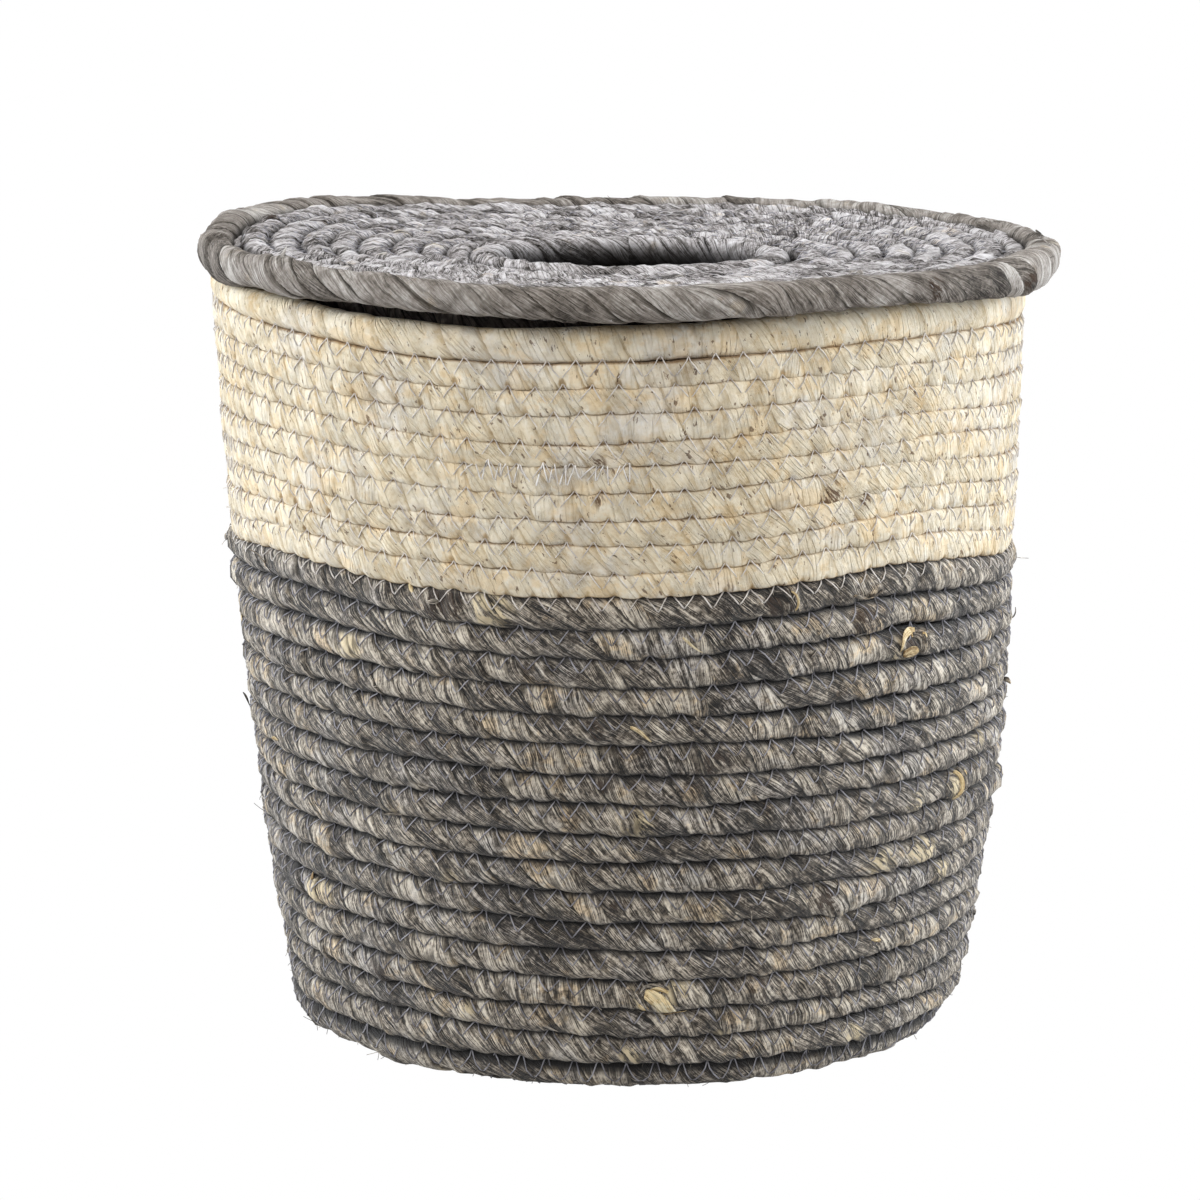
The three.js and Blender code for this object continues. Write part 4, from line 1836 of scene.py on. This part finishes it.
PALE_CURLS = (
    Curl(UPPER_SPLICE, ((-5.2, -0.8), (-3.8, 5.0), (4.4, 4.3)), 1.5, 0.4),
    Curl(UPPER_SPLICE, ((-3.8, -1.6), (-0.4, -0.6), (2.8, -2.6)), 2.4, 0.1),
    Curl(LOWER_SPLICE, ((-4.2, 1.6), (0.6, 0.8), (5.2, -4.2)), 2.7, 0.15),
    Curl(LOWER_SPLICE, ((-3.8, 1.2), (-1.2, 4.0), (3.2, 1.8)), 0.9, 0.7),
    Curl(LOWER_SPLICE, ((2.0, -4.6), (5.0, -3.2), (9.5, -4.4)), 0.8, 0.3),
    Curl(front_turn(-1, 24.0), ((-1.0, 3.0), (2.0, 1.0), (0.6, -2.6)), 0.4, 0.7),
    Curl(front_turn(-2, 9.3), ((-2.4, 2.4), (0.4, -0.6), (3.8, -2.6)), 0.6, 0.8),
    Curl(front_turn(-5, 2.5), ((-3.0, 2.0), (0.0, 1.2), (3.4, -2.0)), 0.8, 0.6),
    Curl(front_turn(-8, 58.0), ((-1.6, 4.0), (3.0, 0.6), (0.0, -4.4)), 0.9, 0.6),
)
DARK_CURLS = (
    Curl(UPPER_SPLICE, ((1.4, 3.0), (6.4, 3.2), (6.2, -3.2)), 1.5, 0.7),
    Curl(UPPER_SPLICE, ((2.6, 4.4), (8.8, 3.6), (8.2, -3.8)), 1.4, 0.4),
    Curl(LOWER_SPLICE, ((-5.6, 1.4), (-3.8, 5.8), (3.4, 2.6)), 0.8, 0.9),
    Curl(LOWER_SPLICE, ((-10.0, 3.4), (-6.0, 0.6), (-2.6, -3.4)), 1.1, 0.6),
    Curl(front_turn(-1, 22.4), ((-3.2, 3.2), (1.6, 2.0), (0.4, -4.0)), 1.4, 0.7),
    Curl(front_turn(-8, 58.0), ((1.2, 4.6), (6.4, 0.0), (1.6, -4.6)), 1.2, 0.7),
    Curl(front_turn(-1, 36.0), ((-6.0, -1.0), (0.0, -4.4), (7.0, -2.0)), 1.3, 0.6),
)

CREAM_KNOTS = knots_at(
    (3, 29.4, -14.0, 2.6, 0.8, -1.3),
    (2, 35.0, 25.0, 1.8, 0.5, -1.0),
    (5, -3.2, -14.0, 1.9, 0.6, -0.9),
    (4, 14.0, 0.0, 1.7, 0.5, -0.9),
    (3, -3.0, 8.0, 1.6, 0.5, -0.7),
    (1, 21.0, 0.0, 1.2, 0.3, -0.7),
    (6, 18.0, 15.0, 1.1, 0.3, -0.6),
)

# Leaf ends on the grey rows, each a row and an angle from the front.
DARK_SCRAPS = (
    (-1, -25.5), (-1, 19.5), (-1, -84.0), (-14, 9.0), (-2, 36.0), (-3, 85.0), (-5, 82.0),
    (-9, 86.0), (-11, 33.0), (-14, 81.0), (-14, 86.0), (-7, -86.0), (-12, -84.0),
)
PALE_SCRAPS = ((-3, 47.5), (-3, 45.0), (-14, 6.0), (-14, 4.0), (-12, -57.0), (-8, 61.0))

# Leaf ends on the lid's edge, each an angle from the front and an angle round the rope.
EDGE_SCRAPS = (
    (79.0, 150), (83.0, 172), (86.0, 128), (89.0, 178), (92.0, 146), (95.0, 165), (-51.0, 158),
    (-88.0, 118), (31.0, 170),
)

EDGE_KNOTS = knots_at(
    (0, 42.0, 88.0, 3.0, 0.9, -0.9),
    (0, 63.0, 80.0, 2.6, 1.0, -1.0),
    (0, 66.0, 100.0, 6.0, 1.3, 0.0),
    (0, 84.0, 120.0, 5.0, 1.2, 0.35),
    (0, -52.0, 105.0, 6.5, 1.1, 0.0),
    (0, -68.0, 80.0, 7.0, 1.4, 0.0),
    (0, -83.0, 115.0, 6.0, 1.3, 0.2),
    (0, -101.0, 150.0, 7.0, 1.4, 0.0),
)


ROUGH_GREY = Wrapping(
    strip_least=5.0, strip_most=18.0, lean=0.78, lean_sway=0.4, overlap=1.1,
    lump=0.62, swell=0.45, squareness=2.1, fill=1.03, seed=5, groove_shade_from=0.6,
)
SOFT_CREAM = Wrapping(
    strip_least=5.5, strip_most=17.0, lean=0.6, lean_sway=0.35, overlap=0.55,
    lump=0.42, swell=0.25, squareness=4.6, fill=1.12, seed=31, groove_shade_from=0.93,
)
SMOOTH_RIM = Wrapping(
    strip_least=9.0, strip_most=26.0, lean=0.5, lean_sway=0.25, overlap=0.35,
    lump=0.25, swell=0.35, squareness=2.5, fill=1.03, seed=41, groove_shade_from=0.88, free_side=True,
)
KNUCKLED_LID = Wrapping(
    strip_least=5.0, strip_most=17.0, lean=0.95, lean_sway=0.45, overlap=1.7,
    lump=0.5, swell=0.35, squareness=2.3, fill=1.03, seed=51, knuckle=0.5,
)
FOLDED_EDGE = Wrapping(
    strip_least=7.0, strip_most=27.0, lean=1.1, lean_sway=0.55, overlap=1.25,
    lump=0.35, swell=0.6, squareness=2.5, fill=1.0, seed=61, free_side=True,
)
TIGHT_RING = Wrapping(
    strip_least=4.0, strip_most=13.0, lean=0.9, lean_sway=0.4, overlap=1.1,
    lump=0.3, swell=0.3, squareness=2.3, fill=1.0, seed=67, knuckle=0.4, free_side=True,
)
# The hole rope's lining has painted shade over its face into the hole and under it.
HOLE_LINING = replace(TIGHT_RING, lean=1.1, overlap=1.5, underside_shade=1.0, seed=68)

GREY_SEAM = SeamStitch()
CREAM_SEAM = SeamStitch(above=1.1, below=4.5, thread=0.21, lift=0.27, sunk=0.05, dent=0.85, seed=74)
LID_SEAM = SeamStitch(above=1.0, below=4.0, dent=0.7, dent_width=1.6, lift=0.1, seed=90)
TANGLE = SeamStitch(
    pitch=4.3, above=1.6, below=5.2, jitter=2.0, lift=0.6, sunk=0.2, dent=0.85, seed=77
)


@dataclass(frozen=True)
class Fuzz:
    """Hairs strewn over a stretch of rope, with the least and the most of each measure."""

    name: str
    count: int
    turns: tuple[float, float]
    thetas: tuple[float, float]
    lengths: tuple[float, float]
    radius: float
    seed: int

    def strew(self, skin: Skin, rng: np.random.Generator) -> MeshPiece:
        """Makes the hairs.

        Args:
            skin: The skin that they grow on.
            rng: Draws their turns and then their angles.

        Returns:
            The piece.
        """
        turns = rng.uniform(*self.turns, self.count)
        thetas = rng.uniform(*self.thetas, self.count)
        paths = LooseEnds(skin, self.seed).hairs(turns, thetas, *self.lengths)
        return thread_piece(self.name, paths, self.radius, 3)


@dataclass
class BasketBody:
    """The basket's body: the floor and foot, three lengths of grey rope, the cream band and the rim."""

    shape: WallShape = WallShape()
    step: float = 0.85
    floor_step: float = 1.1
    rim_step: float = 0.75
    columns: int = 18
    splices: tuple[tuple[float, float], ...] = ((-14, 6.5), (-3, 47.0), (4, -14.0))
    tangle_before: float = 0.045
    tangle_after: float = 0.025
    seed: int = 88

    def __post_init__(self) -> None:
        """Works out the skins and where the rope lengths meet."""
        self.wall = Wall(self.shape)
        self.foot_splice, self.upper_splice, self.band_splice = (front_turn(*s) for s in self.splices)
        grey_knots = GREY_KNOTS + strewn_knots(self.wall.floor_end, -0.6, 150, 4.2, 1.3, 301)
        cream_knots = CREAM_KNOTS + strewn_knots(0.1, self.wall.cream_turns - 0.2, 70, 1.5, 0.7, 302)
        self.grey_skin = Skin(self.wall, ROUGH_GREY, GREY_SEAM, grey_knots)
        self.cream_skin = Skin(self.wall, SOFT_CREAM, CREAM_SEAM, cream_knots)
        self.rim_skin = Skin(self.wall, SMOOTH_RIM)

    def build(self, finishes: Materials) -> None:
        """Builds every rope length of the body, the sewing and the loose ends.

        Args:
            finishes: What they are made of.
        """
        wall, top, step = self.wall, float(self.wall.cream_turns), self.step
        reach = self.upper_splice - self.foot_splice
        thirds = [self.foot_splice + reach * k / 3.0 for k in range(4)]
        for name, first, last, node, ring_step in (
            ("base_rope", wall.first_turn, wall.floor_end, "base_coil", self.floor_step),
            ("foot_rope", wall.floor_end, self.foot_splice, "foot_coil", step),
            ("lower_wall_rope", thirds[0], thirds[1], "lower_wall_coil", step),
            ("waist_wall_rope", thirds[1], thirds[2], "lower_wall_coil", step),
            ("chest_wall_rope", thirds[2], thirds[3], "lower_wall_coil", step),
            ("middle_wall_rope", self.upper_splice, 0.0, "middle_wall_coil", step),
            ("lower_band_rope", 0.0, self.band_splice, "lower_band_coil", step),
            ("upper_band_rope", self.band_splice, top - self.shape.rim_gap, "upper_band_coil", step),
            ("rim_rope", top, top + 1.0, "rim_coil", self.rim_step),
        ):
            grey = last <= 0.0
            skin = self.grey_skin if grey else self.rim_skin if first >= top else self.cream_skin
            piece = rope_piece(name, skin, first, last, ring_step, self.columns)
            finish = GREY_LEAF if grey else CREAM_LEAF
            piece.finish(Body.BASKET, finishes.grey if grey else finishes.cream, finish.slot, node)
        self.sew(finishes)
        self.fray(finishes)

    def sew(self, finishes: Materials) -> None:
        """Sews every seam inside and outside, with a tangle of thread where the cream ropes meet.

        Args:
            finishes: What the threads are made of.
        """
        wall, top = self.wall, float(self.wall.cream_turns)
        for name, skin, first, last, material in (
            ("grey_stitches", self.grey_skin, wall.first_turn + 1.0, -1.0, finishes.shaded_thread),
            ("border_stitches", self.grey_skin, -1.0, -0.02, finishes.pale_thread),
            ("cream_stitches", self.cream_skin, 0.0, top - 0.05, finishes.pale_thread),
        ):
            thread = skin.stitch.thread
            outer = thread_piece(name, zigzag_paths(skin, first, last), thread)
            outer.finish(Body.BASKET, material, "sewing_thread")
            inner = thread_piece(f"inner_{name}", zigzag_paths(skin, first, last, True), thread, 3)
            inner.finish(Body.BASKET, finishes.pale_thread, "sewing_thread")

        tangled = replace(self.cream_skin, stitch=TANGLE)
        first, last = self.band_splice - self.tangle_before, self.band_splice + self.tangle_after
        sewing = thread_piece("band_splice_stitches", zigzag_paths(tangled, first, last), TANGLE.thread)
        sewing.finish(Body.BASKET, finishes.highlit_thread, "sewing_thread")

    def fray(self, finishes: Materials) -> None:
        """Adds loose hairs and lifted leaf ends, thicker on the grey rows.

        Args:
            finishes: What they are made of.
        """
        rng = np.random.default_rng(self.seed)
        end, top = self.wall.floor_end, float(self.wall.cream_turns)
        grey, cream = self.grey_skin, self.cream_skin
        on_grey = Fuzz("grey_hairs", 260, (end + 0.5, -0.1), (-0.9, 0.9), (1.2, 4.6), 0.11, 91)
        on_foot = Fuzz("foot_hairs", 110, (end - 0.2, end + 2.0), (-1.1, 0.4), (0.8, 3.0), 0.11, 94)
        on_cream = Fuzz("cream_hairs", 150, (0.1, top - 0.1), (-0.9, 0.9), (1.0, 3.6), 0.09, 92)
        on_grey.strew(grey, rng).finish(Body.BASKET, finishes.grey, GREY_LEAF.slot)
        on_foot.strew(grey, rng).finish(Body.BASKET, finishes.grey, GREY_LEAF.slot)
        on_cream.strew(cream, rng).finish(Body.BASKET, finishes.cream, CREAM_LEAF.slot)
        dark, pale = LooseEnds(grey, 91), LooseEnds(grey, 93)

        turns = np.concatenate([scrap_turns(DARK_SCRAPS), rng.uniform(end + 1.0, -0.3, 34)])
        scraps = dark.scraps("dark_scraps", turns, rng.uniform(-0.8, 0.8, len(turns)), 7.0, 2.6)
        scraps.finish(Body.BASKET, finishes.grey, GREY_LEAF.slot)
        turns = np.concatenate([scrap_turns(PALE_SCRAPS), rng.uniform(end + 1.0, -0.3, 10)])
        scraps = pale.scraps("pale_scraps", turns, rng.uniform(-0.6, 0.8, len(turns)), 6.0, 2.4)
        scraps.finish(Body.BASKET, finishes.straw, STRAW_LEAF.slot)
        pale.curls("pale_curls", PALE_CURLS).finish(Body.BASKET, finishes.straw, STRAW_LEAF.slot)
        dark.curls("dark_curls", DARK_CURLS).finish(Body.BASKET, finishes.grey, GREY_LEAF.slot)


def scrap_turns(places: tuple[tuple[float, float], ...]) -> np.ndarray:
    """Turns of places that are each given as a row and an angle from the front."""
    rows, angles = np.array(places, float).T
    return front_turn(rows, angles)


@dataclass
class Lid:
    """The loose lid: spiral, edge rope, hole rope and the locating ring underneath."""

    shape: LidShape = LidShape()

    def __post_init__(self) -> None:
        """Lays out the ropes and their skins."""
        shape = self.shape
        edge = RopeRing(
            radius=shape.outer_radius - 0.5 * shape.edge_width,
            height=shape.underside + 0.5 * shape.edge_height,
            width=shape.edge_width,
            thickness=shape.edge_height,
            fuller=(Swell(-88.0, 20.0, 3.0), Swell(74.0, 10.0, 1.6)),
        )
        hole = RopeRing(
            radius=shape.hole_radius + 0.5 * shape.hole_width,
            height=shape.underside + 0.5 * shape.hole_height,
            width=shape.hole_width,
            thickness=shape.hole_height,
            facing_in=True,
        )
        locating = RopeRing(
            radius=shape.locating_outer - 0.5 * shape.locating_width,
            height=shape.underside - shape.locating_gap - 0.5 * shape.locating_height,
            width=shape.locating_width,
            thickness=shape.locating_height,
        )
        self.coil = LidCoil(shape)
        knots = strewn_knots(0.5, self.coil.count, 70, 3.5, 1.2, 303)
        self.spiral_skin = Skin(self.coil, KNUCKLED_LID, LID_SEAM, knots)
        self.edge_skin = Skin(edge, FOLDED_EDGE, knots=EDGE_KNOTS)
        self.hole_skin = Skin(hole, HOLE_LINING)
        self.locating_skin = Skin(locating, TIGHT_RING)

    def lay(self, piece: MeshPiece, material: bpy.types.Material, slot: str, *nodes: str) -> None:
        """Warps a piece as the lid lies on the rim, shifts it sideways and finishes it.

        Each height gains the swells times the squared share of the outer radius, and loses the dish
        times one less that square.

        Args:
            piece: A piece of the lid, modelled flat and centred.
            material: What it is made of.
            slot: The material slot of the record.
            nodes: Nodes of the part that the piece replaces.
        """
        mesh = piece.mesh
        points = np.empty(len(mesh.vertices) * 3, np.float32)
        mesh.vertices.foreach_get("co", points)
        points = points.reshape(-1, 3)
        share = (points[:, 0] ** 2 + points[:, 1] ** 2) / (self.shape.outer_radius * MM) ** 2
        phi = np.arctan2(points[:, 0], -points[:, 1])
        points[:, 2] += (swell_rise(phi, self.shape.swells) * share - self.shape.dish * (1.0 - share)) * MM
        points[:, 0] += self.shape.shift_x * MM
        mesh.vertices.foreach_set("co", points.ravel())
        mesh.update()
        piece.finish(Body.LID, material, slot, *nodes)

    def build(self, finishes: Materials) -> None:
        """Builds the lid's ropes, sewing and loose ends.

        Args:
            finishes: What they are made of.
        """
        for name, skin, step, columns, node, material in (
            ("lid_rope", self.spiral_skin, 0.9, 16, "lid_coil", finishes.lid),
            ("lid_edge_rope", self.edge_skin, 0.6, 26, "lid_edge_ring", finishes.edge),
            ("lid_hole_rope", self.hole_skin, 0.5, 26, "lid_hole_ring", finishes.lid),
            ("lid_locating_rope", self.locating_skin, 1.0, 16, "lid_locating_ring", finishes.shaded_locating),
        ):
            piece = rope_piece(name, skin, skin.path.first_turn, skin.path.last_turn, step, columns)
            self.lay(piece, material, LID_LEAF.slot, node)
        for name, inside in (("lid_stitches", False), ("inner_lid_stitches", True)):
            paths = zigzag_paths(self.spiral_skin, 1.0, self.coil.count - 0.1, inside)
            self.lay(thread_piece(name, paths, LID_SEAM.thread), finishes.shaded_thread, "sewing_thread")
        self.fray(finishes)

    def fray(self, finishes: Materials) -> None:
        """Adds lifted leaf ends on the lid's edge, and loose hairs.

        Args:
            finishes: What they are made of.
        """
        angles, thetas = np.array(EDGE_SCRAPS).T
        ends = LooseEnds(self.edge_skin, 96)
        scraps = ends.scraps("edge_scraps", front_turn(0, angles), np.radians(thetas), 5.5, 2.6)
        self.lay(scraps, finishes.edge, LID_LEAF.slot)
        rng = np.random.default_rng(89)
        for name, skin, last, count, span in (
            ("lid_hairs", self.spiral_skin, self.coil.count, 60, (-0.9, 0.9)),
            ("edge_hairs", self.edge_skin, 1.0, 24, (0.6, 2.8)),
        ):
            thetas = rng.uniform(*span, count)
            hairs = LooseEnds(skin, 95).hairs(rng.uniform(0.0, last, count), thetas, 1.0, 3.5)
            self.lay(thread_piece(name, hairs, 0.1, 3), finishes.lid, LID_LEAF.slot)


@dataclass
class Studio:
    """The camera where the photograph was taken from, soft lamps, and a white floor and backdrop.

    Lamps, what they aim at and how far the camera sees are in metres.
    """

    distance: float = 1479.0
    height: float = 436.0
    pitch: float = 11.06
    yaw: float = 0.303
    focal_pixels: float = 4233.0
    image_pixels: float = 1200.0
    sensor: float = 36.0
    ambient: float = 0.475
    side_power: float = 21.0
    top_power: float = 5.0
    front_power: float = 20.5
    aim_height: float = 0.14
    farthest: float = 50.0
    floor_tone: float = 0.5
    floor_reach: float = 4000.0
    floor_level: float = -0.2

    def camera(self) -> None:
        """Places the camera: focal length is the sensor width times focal pixels over image pixels."""
        data = bpy.data.cameras.new("camera")
        data.sensor_width = self.sensor
        data.lens = self.sensor * self.focal_pixels / self.image_pixels
        data.clip_end = self.farthest
        camera = bpy.data.objects.new("camera", data)
        camera.location = (0.0, -self.distance * MM, self.height * MM)
        camera.rotation_euler = (math.radians(90.0 - self.pitch), 0.0, math.radians(self.yaw))
        bpy.context.scene.collection.objects.link(camera)
        bpy.context.scene.camera = camera

    def lamp(
        self, name: str, place: Triple, size: float, power: float, colour: Colour = (1.0, 1.0, 1.0)
    ) -> None:
        """Adds a square soft lamp that looks at the middle of the basket.

        Args:
            name: The lamp's name.
            place: Where it stands, in metres.
            size: Length of its sides, in metres.
            power: Its power in watts.
            colour: The colour of its light.
        """
        data = bpy.data.lights.new(name, "AREA")
        data.shape, data.size, data.energy, data.color = "SQUARE", size, power, colour
        lamp = bpy.data.objects.new(name, data)
        lamp.location = place
        x, y, z = place
        tilt = math.atan2(math.hypot(x, y), z - self.aim_height)
        lamp.rotation_euler = (tilt, 0.0, math.atan2(y, x) + 0.5 * math.pi)
        bpy.context.scene.collection.objects.link(lamp)

    def lamps(self) -> None:
        """Two large lamps at the sides, a little behind, one overhead and one high in front."""
        cool, warm = (0.9, 0.95, 1.0), (1.0, 0.955, 0.885)
        self.lamp("left_lamp", (-1.13, 0.08, 0.45), 1.1, self.side_power, cool)
        self.lamp("right_lamp", (1.13, 0.08, 0.45), 1.1, self.side_power, cool)
        self.lamp("top_lamp", (0.0, 0.1, 1.5), 1.2, self.top_power)
        self.lamp("front_lamp", (0.0, -1.6, 1.6), 1.8, self.front_power, warm)

    def whitened(
        self, sketch: NodeSketch, plain: bpy.types.Node, white: bpy.types.Node
    ) -> bpy.types.Node:
        """Shows white to rays from the camera, off gloss and through clear material.

        Args:
            sketch: Sketch of the world or of a material.
            plain: Shader for all other rays.
            white: Shader for these rays.

        Returns:
            The mix of the two shaders.
        """
        path = sketch.add("ShaderNodeLightPath")
        share = path.outputs["Is Camera Ray"]
        for name in ("Is Glossy Ray", "Is Transmission Ray"):
            share = sketch.math("MAXIMUM", share, path.outputs[name])
        mix = sketch.add("ShaderNodeMixShader")
        for socket, value in zip(mix.inputs, (share, plain.outputs[0], white.outputs[0])):
            sketch.feed(socket, value)
        return mix

    def world(self) -> None:
        """A world that is white to the camera and lights the object at a plain level."""
        sketch = NodeSketch(bpy.data.worlds.new("white_world"))
        bpy.context.scene.world = sketch.owner
        light = sketch.add("ShaderNodeBackground", Color=(0.96, 0.98, 1.0, 1.0), Strength=self.ambient)
        seen = sketch.add("ShaderNodeBackground", Color=(1.0, 1.0, 1.0, 1.0), Strength=1.0)
        sketch.add("ShaderNodeOutputWorld", Surface=self.whitened(sketch, light, seen).outputs[0])

    def floor(self) -> None:
        """A pale floor that reflects light and is as white to the camera as the backdrop."""
        reach, level = self.floor_reach, self.floor_level
        corners = ((-reach, -reach), (reach, -reach), (reach, reach), (-reach, reach))
        points = np.array([(x, y, level) for x, y in corners])
        piece = MeshPiece("floor", points, np.arange(4), np.array([0]))
        sketch = NodeSketch(bpy.data.materials.new("white_floor"))
        matt = sketch.add("ShaderNodeBsdfDiffuse", Color=(*(self.floor_tone,) * 3, 1.0))
        glow = sketch.add("ShaderNodeEmission", Color=(1.0, 1.0, 1.0, 1.0), Strength=1.0)
        piece.mesh.materials.append(sketch.finish(self.whitened(sketch, matt, glow)))


def main() -> None:
    """Builds the studio, the basket's body and the lid in order."""
    logging.basicConfig(level=logging.INFO, format="%(name)s: %(message)s")
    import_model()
    bpy.context.scene.view_settings.view_transform = "Standard"
    studio = Studio()
    studio.camera()
    studio.world()
    studio.lamps()
    studio.floor()
    finishes = Materials()
    BasketBody().build(finishes)
    Lid().build(finishes)


if __name__ == "__main__":
    main()
